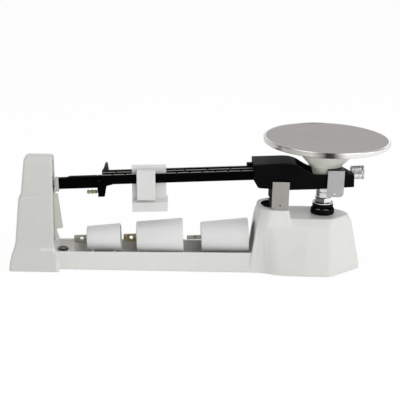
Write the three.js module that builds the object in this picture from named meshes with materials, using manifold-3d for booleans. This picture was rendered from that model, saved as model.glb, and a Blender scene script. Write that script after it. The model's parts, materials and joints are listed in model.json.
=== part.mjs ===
// Triple-beam balance with three attachment weights stored in its base.
// Millimetres, +Z up. The pan's axis is near x = 0 until the last lines shift the whole part,
// so that the origin lies under the middle of its outline. +Y is away from the photographed side.
// The beam is drawn level and then turned about the fulcrum to its lower stop.
import * as THREE from "three";
import { mergeVertices } from "three/addons/utils/BufferGeometryUtils.js";
import Module from "manifold-3d";

const wasm = await Module();
wasm.setup();

// Shared clearances and cuts
const seat = 0.3;
const running = 0.3;
const overrun = 4;
const roundSteps = 40;
const smallRoundSteps = 20;
const tinyRoundSteps = 12;
const panRoundSteps = 64;
const hexagonSides = 6;
const weldDistance = 1e-4;
const halfTurn = Math.PI;
const quarterTurn = Math.PI / 2;

// Beam geometry: the arm runs from the fulcrum to the load axis, and the pan hangs beside the load axis
const fulcrum = { x: -54, z: 108, armLength: 64.3, restTilt: 3.1, upperTilt: 2.5, loadOffset: 10.206 };
const tilt = THREE.MathUtils.degToRad(fulcrum.restTilt);
const upperTilt = THREE.MathUtils.degToRad(fulcrum.upperTilt);
const loadAxis = {
  x: fulcrum.x + fulcrum.armLength * Math.cos(tilt),
  z: fulcrum.z + fulcrum.armLength * Math.sin(tilt),
};
const panX = loadAxis.x - fulcrum.loadOffset;

const pedestal = {
  leftLength: 34, rightLength: 53, halfDepth: 37.4, wall: 3.5, deckZ: 69.7, facetZ: 60, bossZ: 79.6,
  bossEdge: 2, footZ: 10, underside: 0.8, hollowLength: 20, footPostRadius: 5, footX: 4, footY: 20,
};
// Corners as shares [along, across, rounding], taken from the fulcrum on the left and the pan on the right
const pedestalRings = [
  {
    z: pedestal.underside,
    leftShares: [
      [-1, 0.71658, 0.02674], [-0.5, 0.7246, 0.2139],
      [-0.08824, 0.91979, 0.32086], [1, 1, 1.06952],
    ],
    rightShares: [[0.18182, 0.97861, 0.37433], [1, 0, 0.2139]],
  },
  {
    z: pedestal.footZ,
    leftShares: [
      [-0.96765, 0.71123, 0.02674], [-0.51471, 0.71925, 0.2139],
      [-0.11765, 0.90374, 0.32086], [1, 0.97861, 1.06952],
    ],
    rightShares: [[0.17778, 0.95722, 0.37433], [0.96566, 0, 0.18717]],
  },
  {
    z: pedestal.facetZ,
    leftShares: [
      [-0.79412, 0.69519, 0.05348], [-0.58824, 0.75401, 0.2139],
      [-0.23529, 0.82888, 0.32086], [1, 0.83957, 1.06952],
    ],
    rightShares: [[0.15152, 0.82888, 0.37433], [0.73535, 0, 0.2139]],
  },
  {
    z: pedestal.deckZ,
    leftShares: [
      [-0.75882, 0.53476, 0.08021], [-0.58824, 0.65775, 0.2139],
      [-0.23529, 0.6738, 0.32086], [1, 0.67914, 1.06952],
    ],
    rightShares: [[0.18182, 0.66845, 0.40107], [0.67677, 0, 0.37433]],
  },
];
const bossRings = [
  {
    z: pedestal.facetZ,
    leftShares: [
      [-0.79412, 0.69519, 0.10695], [-0.47059, 0.82888, 0.2139],
      [0.44118, 0.82888, 0.08021],
    ],
    rightShares: [],
  },
  {
    z: pedestal.deckZ,
    leftShares: [
      [-0.75588, 0.5615, 0.26738], [-0.41176, 0.75668, 0.32086],
      [0.38235, 0.75668, 0.08021],
    ],
    rightShares: [],
  },
  {
    z: pedestal.bossZ - pedestal.bossEdge,
    leftShares: [
      [-0.72647, 0.46791, 0.37433], [-0.35294, 0.71658, 0.37433],
      [0.33824, 0.71658, 0.08021],
    ],
    rightShares: [],
  },
  {
    z: pedestal.bossZ,
    leftShares: [
      [-0.69412, 0.44118, 0.37433], [-0.33824, 0.68449, 0.37433],
      [0.32353, 0.68449, 0.08021],
    ],
    rightShares: [],
  },
];
const recess = { offset: 6.2, radius: 16.2, depth: 8, ringWidth: 1.2, ringHeight: 2.4 };
const weightNiche = { radius: 20, z: 36, setback: 26 };

const rail = {
  footY: 27, topY: 24, topZ: 25, endTopZ: 21.8, wall: 2.5, leftX: -336, rightX: -72,
};
const trough = {
  floorZ: 8, floorThick: 2.5, leftX: -312, shelfX: -291, shelfZ: 21, shelfSlope: 8,
  cradleThick: 3, cradleHalfWidth: 19.5, cradleHeight: 13,
};

const post = {
  leftX: -372.7, rightX: -313.5, halfDepth: 37, topZ: 134.1, edgeRound: 3, slotHalfWidth: 9, slotLowZ: 30,
  slotTopGap: 2.3, slotEndX: -346,
};
// Each ring as shares: [height, left draft, right draft, half depth, rounding]
const postRingShares = [
  [0.00597, 0, 0, 1, 1],
  [0.07457, 0.01014, 0.03378, 0.90541, 1],
  [0.1387, 0.03716, 0.06757, 0.7973, 1],
  [0.19389, 0.08615, 0.10135, 0.7027, 1],
  [0.24161, 0.10642, 0.12669, 0.64865, 1],
  [0.63609, 0.16892, 0.14696, 0.51351, 1],
  [0.65101, 0.20946, 0.14865, 0.44865, 1],
  [0.93587, 0.2652, 0.16047, 0.36216, 1],
  [0.9739, 0.27027, 0.16385, 0.2973, 0.83333],
  [1, 0.33277, 0.17061, 0.18919, 0.66667],
];
const postWidth = post.rightX - post.leftX;
const postRings = postRingShares.map(([height, left, right, half, round]) => ({
  z: height * post.topZ,
  left: post.leftX + left * postWidth,
  right: post.rightX - right * postWidth,
  half: half * post.halfDepth,
  round: round * post.edgeRound,
}));
const slotTopZ = post.topZ - post.slotTopGap;
const indexPlate = {
  thick: 1.4, offsetY: 0.4, topZ: 90.4, bottomZ: 46.8, topWidth: 3.8, bottomWidth: 9.4, stripZ: 31,
};
const damper = {
  magnetThick: 5, magnetGap: 2.2, magnetLowZ: 98, magnetHighZ: 128, magnetLeftX: -341, magnetRightX: -329,
  vaneThick: 1.2, vaneHeight: 7, vaneLength: 20,
};
const stop = { length: 6, lowThick: 4 };
const foot = { radius: 6.5, height: 5.5 };
const postFoot = { x: -352, y: 22 };

const bracket = {
  halfWidth: 10, sheet: 1.5, outerY: 24.6, topZ: 114, flange: 2.6, cornerRound: 5, dotRadius: 1.1, dotZ: 85.1,
  screwY: 10,
};
const bearing = { halfWidth: 4.5, thick: 1.7, height: 8, grooveDepth: 1.8, grooveHalf: 4 };
const knife = { halfWidth: 2.2, shoulder: 2.8, height: 3.9, reach: 22.6, root: 17.6 };
const screw = { headRadius: 3, headHeight: 1.6, slotWidth: 0.8, slotDepth: 0.7 };

const yoke = {
  leftX: -85.5, nearLength: 22.4, middleLength: 17.9, farLength: 11.9, halfWidth: 20.5, wall: 3,
  edge: 2.6, bottomZ: 102.7, plateauZ: 135.2, armZ: 119.9, plateauEndX: -48.5, armStartX: -5, plateEndX: -34,
  plateThick: 3, crossThick: 6,
  cornerX: 7.9, cornerZ: 115, lugX: 6.5, lugY: 8, lugWidth: 6, lugZ: 126.2, lugHeight: 3,
};
// Lower edge of the yoke as shares: [along its length, rise above its lowest line]
const yokeBellyShares = [
  [-0.04, 0.134], [0.0389, 0.111], [0.36, 0.003], [0.6, 0], [0.71, 0.012], [1.04, 0.047],
];
const beam = { spacing: 10.5, thick: 3.2, topZ: 125.5, height: 11.4, leftX: -264.7, rightX: -79 };
const crosspiece = {
  leftX: -270.2, halfWidth: 13.2, topZ: 118, blockRightX: -259.8, blockHalfWidth: 6.4, blockBottomZ: 97.3,
  blockTopZ: 113.4, blockSlope: 2.6, lipX: -252.5, lipHeight: 3,
};
const pointerArm = {
  leftX: -316.2, thick: 6, bottomZ: 107.6, topZ: 122.2, tipTopZ: 120.9, stepX: -303.5,
};
const pointerTip = { thick: 4, halfWidth: 4.6, bottomZ: 105.1, topZ: 121.9, round: 3.4 };
const hangerPin = { radius: 2.6, neckRadius: 1.6, length: 13.4, z: 102.2, grooves: 2, endLength: 3.4 };
const zeroAdjust = {
  z: 116, studRadius: 2.6, studLength: 24, knobLead: 9.3, knobLength: 15.5, knobRadius: 8.1,
  flangeRadius: 8.6, flangeLength: 2.2, knurls: 20, knurlDepth: 0.5,
};

const poises = { windowGap: 0.4, hangBack: 1.2 };
const largePoise = {
  leftX: -229.2, rightX: -188.6, halfThick: 5.3, topZ: 132.4, ledgeZ: 90.5, ledgeTopZ: 93.8, lowHalfThick: 13,
  lowRightX: -187.2, bottomZ: 79, edge: 1,
};
const middlePoise = {
  leftX: -223.3, rightX: -201.3, outerY: -17.4, innerY: -6.2, topZ: 129.6, bottomZ: 94.5, edge: 0.8,
};
const smallPoise = {
  x: -259.3, length: 10.4, thick: 7.2, bottomZ: 111.2, topZ: 127.2, finZ: 134.9, finLength: 4, finRound: 1.6,
};

const carrier = {
  stemRadius: 9.4, stemTopZ: 119, tubeLowZ: 90.3, rodRadius: 3, nutFlangeZ: 81.6, nutZ: 84.2,
  nutAcross: 12.2,
  flangeRadius: 12.4, bumperLowZ: 78.4, bumperRadius: 12.5, socketRadius: 8.6, socketDepth: 9,
  forkWidth: 8.4, forkGap: 3.8, forkLength: 9,
};
const support = { radius: 41.6, height: 40.1 };
// Outside and inside of the moulding as shares of its radius and height
const supportShares = [
  [0, 0], [0.34135, 0], [0.37019, 0.05486], [0.41827, 0.29676],
  [0.44712, 0.32668], [0.49038, 0.33666], [0.56731, 0.4015], [0.67308, 0.50125],
  [0.86538, 0.72818], [0.98558, 0.92519], [1, 0.99501], [0.9375, 1],
  [0.8774, 0.93017], [0.72115, 0.75561], [0.57692, 0.70574], [0, 0.70574],
];
const supportProfile = supportShares.map(([r, z]) => [
  r * support.radius, carrier.stemTopZ + seat + z * support.height,
]);
const supportTopZ = carrier.stemTopZ + seat + support.height;
const supportFloorZ = supportProfile[supportProfile.length - 1][1];
const [supportBase, , supportNeck] = supportProfile.slice(1);
const stirrup = {
  halfWidth: 9.8, topZ: 129, bottomZ: 97, cornerRound: 5.5, dotRadius: 1.1, dotZ: 100.5, dotX: 0.6,
};
const grommet = { outerRadius: 14, innerRadius: 12.9, height: 7 };
const deckHole = { radius: 7 };
const link = { pivotZ: 22, pinRadius: 2, eyeRadius: 4.6, thick: 3, barHalf: 2.6 };

const pan = {
  radius: 75, standoff: 2.5, rimHeight: 5.4, sheet: 1.2, dish: 0.4, rimWidth: 3.2, hubGap: 0.4,
};
const panTopZ = supportTopZ + pan.standoff + pan.sheet + pan.dish;
const hubRadius = carrier.socketRadius - pan.hubGap;

const smallWeight = {
  leftX: -282.5, rightX: -242, smallRadius: 14.7, largeRadius: 17, bottomZ: 16.6, plateLength: 16,
  plateRoll: 0,
};
const middleWeight = {
  leftX: -223, rightX: -167, smallRadius: 19, largeRadius: 21.85, bottomZ: 14.9, plateLength: 16,
  plateRoll: 0,
};
const largeWeight = {
  leftX: -145.5, rightX: -88.5, smallRadius: 18.2, largeRadius: 21.5, bottomZ: 17.7, plateLength: 15,
  plateRoll: 90,
};
const weights = { small: smallWeight, middle: middleWeight, large: largeWeight };
const hangPlate = {
  thick: 1.8, height: 9, buried: 5, holeRadius: 3, edge: 1.2, pocketDepth: 3, pocketShare: 0.86,
};
const thumbScrew = { x: -310.5, y: -13, wheelRadius: 6.2, wheelThick: 2.6, screwRadius: 2.4, tipZ: 2.5 };

// Finishes
const looks = {
  enamel: { color: 0xd8d8d2, roughness: 0.45, metalness: 0 },
  weightEnamel: { color: 0xdcdcdc, roughness: 0.4, metalness: 0 },
  blackEnamel: { color: 0x0c0c10, roughness: 0.35, metalness: 0 },
  castingBlack: { color: 0x26241f, roughness: 0.55, metalness: 0 },
  steel: { color: 0xa9a7a3, roughness: 0.35, metalness: 1 },
  panSteel: { color: 0xb4b0ab, roughness: 0.3, metalness: 1 },
  brass: { color: 0x9a8f62, roughness: 0.4, metalness: 1 },
  rubber: { color: 0x080808, roughness: 0.8, metalness: 0 },
  moulding: { color: 0xd2d2c6, roughness: 0.5, metalness: 0 },
  agate: { color: 0x8c6a58, roughness: 0.25, metalness: 0 },
  magnet: { color: 0x4a4a4e, roughness: 0.5, metalness: 0.4 },
  tipWhite: { color: 0xe6e6e2, roughness: 0.5, metalness: 0 },
  darkPlastic: { color: 0x16140f, roughness: 0.5, metalness: 0 },
};

// Solids from three.js geometry
function solid(geometry) {
  const bare = geometry.index ? geometry.toNonIndexed() : geometry.clone();
  bare.deleteAttribute("normal");
  bare.deleteAttribute("uv");
  const merged = mergeVertices(bare, weldDistance);
  const index = merged.index.array;
  const kept = [];
  for (let i = 0; i < index.length; i += 3) {
    const [a, b, c] = [index[i], index[i + 1], index[i + 2]];
    if (a !== b && b !== c && c !== a) kept.push(a, b, c);
  }
  const build = (triangles) => new wasm.Manifold(new wasm.Mesh({
    numProp: 3,
    vertProperties: new Float32Array(merged.attributes.position.array),
    triVerts: new Uint32Array(triangles),
  }));
  const made = build(kept);
  if (made.volume() > 0) return made;
  const turned = [];
  for (let i = 0; i < kept.length; i += 3) turned.push(kept[i], kept[i + 2], kept[i + 1]);
  return build(turned);
}

function box(x, y, z) {
  const size = [x[1] - x[0], y[1] - y[0], z[1] - z[0]];
  const made = new THREE.BoxGeometry(...size);
  made.translate((x[0] + x[1]) / 2, (y[0] + y[1]) / 2, (z[0] + z[1]) / 2);
  return solid(made);
}

function rod(axis, radius, from, to, at, steps = smallRoundSteps) {
  const made = new THREE.CylinderGeometry(radius, radius, to - from, steps);
  made.translate(0, (from + to) / 2, 0);
  if (axis === "z") made.rotateX(quarterTurn);
  if (axis === "x") made.rotateZ(-quarterTurn);
  const shift = { x: [0, at[0], at[1]], y: [at[0], 0, at[1]], z: [at[0], at[1], 0] }[axis];
  made.translate(...shift);
  return solid(made);
}

function turned(profile, steps = roundSteps) {
  const loop = profile.map(([r, z]) => new THREE.Vector2(r, z));
  const [first, last] = [profile[0], profile[profile.length - 1]];
  if (first[0] !== 0 || last[0] !== 0) loop.push(loop[0].clone());
  const made = new THREE.LatheGeometry(loop, steps);
  made.rotateX(quarterTurn);
  return solid(made);
}

function outlineShape(points) {
  return new THREE.Shape(points.map(([a, b]) => new THREE.Vector2(a, b)));
}

// A profile in x and z, carried along y
function sideProfile(shape, y, edge = 0) {
  const depth = y[1] - y[0] - 2 * edge;
  const made = new THREE.ExtrudeGeometry(shape, {
    depth, bevelEnabled: edge > 0, bevelSize: edge, bevelThickness: edge, bevelOffset: -edge,
    bevelSegments: 2, curveSegments: 8,
  });
  made.translate(0, 0, -depth / 2);
  made.rotateX(quarterTurn);
  made.translate(0, (y[0] + y[1]) / 2, 0);
  return solid(made);
}

// A profile in y and z, carried along x
function endProfile(shape, x) {
  const made = new THREE.ExtrudeGeometry(shape, {
    depth: x[1] - x[0], bevelEnabled: false, curveSegments: 8,
  });
  made.applyMatrix4(new THREE.Matrix4().makeBasis(
    new THREE.Vector3(0, 1, 0), new THREE.Vector3(0, 0, 1), new THREE.Vector3(1, 0, 0),
  ));
  made.translate(x[0], 0, 0);
  return solid(made);
}

// Points round a polygon whose corners are rounded, with as many points at every corner
function roundedRing(corners, steps) {
  const ring = [];
  corners.forEach(([x, y, radius], i) => {
    const here = new THREE.Vector2(x, y);
    const before = corners[(i + corners.length - 1) % corners.length];
    const after = corners[(i + 1) % corners.length];
    const inward = new THREE.Vector2(before[0], before[1]).sub(here);
    const outward = new THREE.Vector2(after[0], after[1]).sub(here);
    const room = Math.min(inward.length(), outward.length()) / 2;
    inward.normalize();
    outward.normalize();
    const half = Math.acos(THREE.MathUtils.clamp(inward.dot(outward), -1, 1)) / 2;
    const reach = Math.min(radius / Math.tan(half), room);
    const start = here.clone().addScaledVector(inward, reach);
    const end = here.clone().addScaledVector(outward, reach);
    for (let s = 0; s <= steps; s++) {
      const t = s / steps;
      const a = start.clone().lerp(here, t);
      const b = here.clone().lerp(end, t);
      const p = a.lerp(b, t);
      ring.push([p.x, p.y]);
    }
  });
  return ring;
}

// A closed skin through rings that have as many points each
function lofted(rings) {
  const points = [];
  const index = [];
  const count = rings[0].points.length;
  rings.forEach(({ z, points: ring }) => ring.forEach(([x, y]) => points.push(x, y, z)));
  for (let level = 0; level + 1 < rings.length; level++) {
    for (let i = 0; i < count; i++) {
      const j = (i + 1) % count;
      const [a, b] = [level * count + i, level * count + j];
      index.push(a, b, b + count, a, b + count, a + count);
    }
  }
  const cap = (ring, base, up) => {
    const flat = ring.map(([x, y]) => new THREE.Vector2(x, y));
    THREE.ShapeUtils.triangulateShape(flat, []).forEach(([a, b, c]) => {
      if (up) index.push(base + a, base + b, base + c);
      else index.push(base + a, base + c, base + b);
    });
  };
  cap(rings[0].points, 0, false);
  cap(rings[rings.length - 1].points, (rings.length - 1) * count, true);
  const made = new THREE.BufferGeometry();
  made.setAttribute("position", new THREE.Float32BufferAttribute(points, 3));
  made.setIndex(index);
  return solid(made);
}

// Corners for one side of the mid-plane, mirrored into a whole ring and grown or shrunk
const pedestalMiddleX = fulcrum.x + pedestal.leftLength;
const cornerFrom = (originX, length) => ([along, across, rounding]) => [
  originX + along * length, across * pedestal.halfDepth, rounding * pedestal.halfDepth,
];

function mirroredRing({ z, leftShares, rightShares }, grow, leftLimit = -Infinity) {
  const corners = [
    ...leftShares.map(cornerFrom(fulcrum.x, pedestal.leftLength)),
    ...rightShares.map(cornerFrom(panX, pedestal.rightLength)),
  ];
  const near = corners.map(([x, y, r]) => {
    const shifted = x + Math.sign(x - pedestalMiddleX) * grow;
    return [Math.max(shifted, leftLimit), y === 0 ? 0 : -(y + grow), Math.max(r + grow, seat)];
  });
  const far = near.filter(([, y]) => y !== 0).map(([x, y, r]) => [x, -y, r]).reverse();
  return { z, points: roundedRing([...near, ...far], 4) };
}

function pedestalSkin(grow, leftLimit, low, high) {
  const rings = pedestalRings.map((ring) => mirroredRing(ring, grow, leftLimit));
  rings[rings.length - 1].z = high;
  if (low < rings[0].z) rings.unshift({ z: low, points: rings[0].points });
  return lofted(rings);
}

function postRing({ z, left, right, half, round }, grow) {
  const [l, r, h] = [left - grow, right + grow, half + grow];
  const corners = [[l, -h, round], [r, -h, round / 2], [r, h, round / 2], [l, h, round]];
  return { z, points: roundedRing(corners, 3) };
}

function postSkin(grow) {
  return lofted(postRings.map((ring) => postRing(ring, grow)));
}

function together(parts) {
  return parts.reduce((sum, next) => sum.add(next));
}

// A stored weight is turned round its own axis, and then lies with its lowest line level
function weightGeometry(profile) {
  const made = new THREE.LatheGeometry(profile.map(([r, x]) => new THREE.Vector2(r, x)), roundSteps);
  made.rotateZ(-quarterTurn);
  return made;
}

function laidDown(w, made) {
  const lean = Math.atan2(w.largeRadius - w.smallRadius, w.rightX - w.leftX);
  return made.rotate([0, -THREE.MathUtils.radToDeg(lean), 0])
    .translate([w.leftX, 0, w.bottomZ + w.smallRadius * Math.cos(lean)]);
}

// Hangs a poise nearer to upright than its tilted beam
function hungBack(made, x) {
  return made.translate([-x, 0, -beam.topZ]).rotate([0, poises.hangBack, 0]).translate([x, 0, beam.topZ]);
}

// Scene graph
const balance = new THREE.Group();
balance.name = "balance";
const baseGroup = new THREE.Group();
const carrierGroup = new THREE.Group();
carrierGroup.position.x = panX;
const beamGroup = new THREE.Group();
beamGroup.position.set(fulcrum.x, 0, fulcrum.z);
beamGroup.rotation.y = -tilt;
balance.add(baseGroup, carrierGroup, beamGroup);

function piece(group, name, made, look) {
  const mesh = made.getMesh();
  const position = new Float32Array(mesh.numVert * 3);
  for (let i = 0; i < mesh.numVert; i++) {
    for (let k = 0; k < 3; k++) position[i * 3 + k] = mesh.vertProperties[i * mesh.numProp + k];
  }
  const geometry = new THREE.BufferGeometry();
  geometry.setAttribute("position", new THREE.BufferAttribute(position, 3));
  geometry.setIndex(new THREE.BufferAttribute(new Uint32Array(mesh.triVerts), 1));
  if (group === beamGroup) geometry.translate(-fulcrum.x, 0, -fulcrum.z);
  geometry.computeVertexNormals();
  const part = new THREE.Mesh(geometry, new THREE.MeshStandardMaterial(looks[look]));
  part.name = name;
  group.add(part);
}

// Near and far copies of a solid that is drawn on the near side
function pair(group, name, made, look) {
  piece(group, name + "_near", made, look);
  piece(group, name + "_far", made.mirror([0, 1, 0]), look);
}

// Pedestal
const pedestalOuter = pedestalSkin(0, -Infinity, pedestal.underside, pedestal.deckZ);
const pedestalGrown = pedestalSkin(seat, -Infinity, -overrun, pedestal.deckZ);
const boss = lofted(bossRings.map((ring) => mirroredRing(ring, 0)));
const pedestalHollow = pedestalSkin(
  -pedestal.wall, fulcrum.x - pedestal.hollowLength, pedestal.underside - overrun,
  pedestal.deckZ - pedestal.wall,
);
const footPost = rod(
  "z", pedestal.footPostRadius, foot.height + seat, pedestal.deckZ - pedestal.wall / 2,
  [panX + pedestal.footX, -pedestal.footY],
);
const recessFloorZ = pedestal.bossZ - recess.depth;
const recessX = fulcrum.x - recess.offset;
const recessCut = rod("z", recess.radius, recessFloorZ, pedestal.bossZ + overrun, [recessX, 0], roundSteps);
const deckCut = rod("z", deckHole.radius, pedestal.facetZ, pedestal.deckZ + overrun, [panX, 0]);
const nicheCut = rod(
  "x", weightNiche.radius, fulcrum.x - pedestal.leftLength - overrun, fulcrum.x - weightNiche.setback,
  [0, weightNiche.z], roundSteps,
);
const pedestalSolid = pedestalOuter.add(boss).subtract(pedestalHollow)
  .add(footPost).add(footPost.mirror([0, 1, 0]))
  .subtract(recessCut).subtract(deckCut).subtract(nicheCut);
piece(baseGroup, "pedestal", pedestalSolid, "enamel");

const ringOuter = recess.radius - seat;
const ringInner = ringOuter - recess.ringWidth;
const recessRing = turned([
  [ringInner, pedestal.bossZ - recess.ringHeight], [ringOuter, pedestal.bossZ - recess.ringHeight],
  [ringOuter, pedestal.bossZ - seat], [ringInner + recess.ringWidth / 2, pedestal.bossZ],
  [ringInner, pedestal.bossZ - seat],
]).translate([recessX, 0, 0]);
piece(baseGroup, "recess_ring", recessRing, "steel");

// Rails, each a drafted wall, and the trough floor between them
const postGrown = postSkin(seat).add(box(
  [post.leftX, post.rightX + seat], [-post.halfDepth, post.halfDepth], [-overrun, postRings[0].z + seat],
));
const railShape = outlineShape([
  [-rail.footY, pedestal.underside], [-rail.topY, rail.topZ], [-rail.topY + rail.wall, rail.topZ],
  [-rail.topY + rail.wall, trough.floorZ], [-rail.footY + rail.wall, pedestal.underside],
]);
const railSlope = sideProfile(outlineShape([
  [rail.leftX, rail.endTopZ], [rail.rightX, rail.topZ], [rail.rightX, rail.topZ + overrun],
  [rail.leftX - overrun, rail.topZ + overrun], [rail.leftX - overrun, rail.endTopZ],
]), [-rail.footY, rail.footY]);
const railSolid = endProfile(railShape, [rail.leftX, rail.rightX])
  .subtract(railSlope).subtract(pedestalGrown).subtract(postGrown);
const railPieces = railSolid.decompose().sort((a, b) => b.volume() - a.volume());
pair(baseGroup, "rail", railPieces[0], "enamel");

const innerY = rail.topY - rail.wall - seat;
const floorLow = trough.floorZ - trough.floorThick;
const shelf = sideProfile(outlineShape([
  [trough.leftX - overrun, floorLow], [trough.shelfX, floorLow], [trough.shelfX, trough.floorZ],
  [trough.shelfX - trough.shelfSlope, trough.shelfZ], [trough.leftX - overrun, trough.shelfZ],
]), [-innerY, innerY]);
const floorPlate = box([trough.shelfX - overrun, rail.rightX], [-innerY, innerY], [floorLow, trough.floorZ]);
let troughSolid = floorPlate.add(shelf);
const cradlePlaceShares = [0.18, 0.82];
Object.values(weights).forEach((w) => {
  const length = w.rightX - w.leftX;
  const notch = laidDown(w, solid(weightGeometry([
    [0, -seat], [w.smallRadius + seat, -seat], [w.largeRadius + seat, length + seat], [0, length + seat],
  ])));
  cradlePlaceShares.forEach((placeShare) => {
    const x = w.leftX + length * placeShare;
    const halfThick = trough.cradleThick / 2;
    const top = trough.floorZ + trough.cradleHeight;
    const block = box(
      [x - halfThick, x + halfThick], [-trough.cradleHalfWidth, trough.cradleHalfWidth], [floorLow, top],
    );
    troughSolid = troughSolid.add(block.subtract(notch));
  });
});
const screwHole = rod(
  "z", thumbScrew.screwRadius + running, -overrun, trough.shelfZ + overrun, [thumbScrew.x, thumbScrew.y],
);
troughSolid = troughSolid.subtract(pedestalGrown).subtract(postGrown).subtract(screwHole);
piece(baseGroup, "trough_floor", troughSolid, "enamel");

const wheelLow = trough.shelfZ + seat;
const thumbwheel = rod(
  "z", thumbScrew.wheelRadius, wheelLow, wheelLow + thumbScrew.wheelThick, [thumbScrew.x, thumbScrew.y],
  smallRoundSteps,
).add(rod(
  "z", thumbScrew.screwRadius, thumbScrew.tipZ, wheelLow + thumbScrew.wheelThick / 2,
  [thumbScrew.x, thumbScrew.y],
));
piece(baseGroup, "levelling_screw", thumbwheel, "darkPlastic");

// Index post with its pointer slot
const slotCut = box(
  [post.slotEndX, post.rightX + overrun], [-post.slotHalfWidth, post.slotHalfWidth],
  [post.slotLowZ, slotTopZ],
);
const postFootHole = rod("z", foot.radius + seat, -overrun, foot.height + seat, [postFoot.x, -postFoot.y]);
const postSolid = postSkin(0).subtract(slotCut)
  .subtract(postFootHole).subtract(postFootHole.mirror([0, 1, 0]));
piece(baseGroup, "index_post", postSolid, "enamel");
const postFace = (z) => {
  const next = postRings.findIndex((ring) => ring.z >= z);
  const [a, b] = [postRings[next - 1], postRings[next]];
  return a.right + ((b.right - a.right) * (z - a.z)) / (b.z - a.z);
};
const plateBack = postFace(indexPlate.stripZ) + seat;
const plateCorner = indexPlate.topWidth / 2;
const indexShape = outlineShape([
  [plateBack, indexPlate.stripZ], [plateBack + plateCorner, indexPlate.stripZ],
  [plateBack + plateCorner, indexPlate.bottomZ],
  [plateBack + indexPlate.bottomWidth - plateCorner, indexPlate.bottomZ],
  [plateBack + indexPlate.bottomWidth, indexPlate.bottomZ + plateCorner],
  [plateBack + indexPlate.topWidth, indexPlate.topZ], [postFace(indexPlate.topZ) + seat, indexPlate.topZ],
]);
const plateY = -post.slotHalfWidth - indexPlate.offsetY;
piece(baseGroup, "index_plate", sideProfile(indexShape, [plateY - indexPlate.thick, plateY]), "tipWhite");

// Damper magnets on a steel yoke in the slot
const magnetX = [damper.magnetLeftX, damper.magnetRightX];
const magnetY = [-damper.magnetGap - damper.magnetThick, -damper.magnetGap];
pair(
  baseGroup, "damper_magnet", box(magnetX, magnetY, [damper.magnetLowZ, damper.magnetHighZ]), "magnet",
);
const yokeY = damper.magnetGap + damper.magnetThick;
piece(baseGroup, "damper_yoke", box(
  [post.slotEndX + seat, damper.magnetLeftX - seat], [-yokeY, yokeY],
  [damper.magnetLowZ, damper.magnetHighZ],
), "steel");

// Vane and stops: the vane's lower edge rests on the lower stop
const vaneRightX = pointerArm.leftX - pointerTip.thick - 2 * seat;
const vaneX = [vaneRightX - damper.vaneLength, vaneRightX];
const vaneMidZ = (pointerArm.bottomZ + pointerArm.tipTopZ) / 2;
const vaneZ = [vaneMidZ - damper.vaneHeight / 2, vaneMidZ + damper.vaneHeight / 2];
function worldZ(x, z, angle) {
  return fulcrum.z + (z - fulcrum.z) * Math.cos(angle) + (x - fulcrum.x) * Math.sin(angle);
}
const stopX = damper.magnetRightX + seat;
const vaneRestZ = Math.min(worldZ(stopX, vaneZ[0], tilt), worldZ(stopX + stop.length, vaneZ[0], tilt));
const vaneTopZ = worldZ(stopX, vaneZ[1], -upperTilt);
const stopRange = [stopX, stopX + stop.length];
piece(baseGroup, "lower_stop", box(
  stopRange, [-post.slotHalfWidth + seat, post.slotHalfWidth - seat],
  [vaneRestZ - seat - stop.lowThick, vaneRestZ - seat],
), "rubber");
piece(baseGroup, "upper_stop", box(
  stopRange, [-post.slotHalfWidth + seat, post.slotHalfWidth - seat],
  [vaneTopZ + seat, slotTopZ - seat],
), "rubber");

// Feet
const footSolid = (x) => rod("z", foot.radius, 0, foot.height, [x, 0]);
const frontFoot = footSolid(panX + pedestal.footX).translate([0, -pedestal.footY, 0]);
pair(baseGroup, "front_foot", frontFoot, "rubber");
pair(baseGroup, "post_foot", footSolid(postFoot.x).translate([0, -postFoot.y, 0]), "rubber");

// Fulcrum bracket: a strip across the recess with two cheeks, and a bearing inside each cheek
const bracketX = [fulcrum.x - bracket.halfWidth, fulcrum.x + bracket.halfWidth];
const stripZ = [pedestal.bossZ + seat, pedestal.bossZ + seat + bracket.sheet];
const cheekY = [-bracket.outerY, -bracket.outerY + bracket.sheet];

function cheekShape(x, z, cornerRound, roundBothCorners) {
  const shape = new THREE.Shape();
  shape.moveTo(x[0], z[1]);
  shape.lineTo(x[0], z[0] + (roundBothCorners ? cornerRound : 0));
  if (roundBothCorners) shape.quadraticCurveTo(x[0], z[0], x[0] + cornerRound, z[0]);
  shape.lineTo(x[1] - cornerRound, z[0]);
  shape.quadraticCurveTo(x[1], z[0], x[1], z[0] + cornerRound);
  shape.lineTo(x[1], z[1]);
  return shape;
}

const stripEndX = [bracketX[0] + bracket.cornerRound, bracketX[1] - bracket.cornerRound];
const stripEndY = bracket.outerY - bracket.cornerRound;
const bracketStrip = box(bracketX, [-stripEndY, stripEndY], stripZ)
  .add(box(stripEndX, [-bracket.outerY, bracket.outerY], stripZ));
const bracketCheek = sideProfile(
  cheekShape(bracketX, [stripZ[0], bracket.topZ], bracket.cornerRound, true), cheekY,
).add(box(bracketX, [cheekY[0], cheekY[0] + bracket.flange], [bracket.topZ - bracket.sheet, bracket.topZ]))
  .subtract(rod(
    "y", bracket.dotRadius, cheekY[0] - overrun, cheekY[1] + overrun, [fulcrum.x, bracket.dotZ],
    tinyRoundSteps,
  ));
const screwHoles = rod(
  "z", screw.headRadius / 2 + seat, stripZ[0] - overrun, stripZ[1] + overrun, [fulcrum.x, -bracket.screwY],
);
piece(baseGroup, "fulcrum_bracket", bracketStrip.add(bracketCheek).add(bracketCheek.mirror([0, 1, 0]))
  .subtract(screwHoles).subtract(screwHoles.mirror([0, 1, 0])), "steel");

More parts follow.
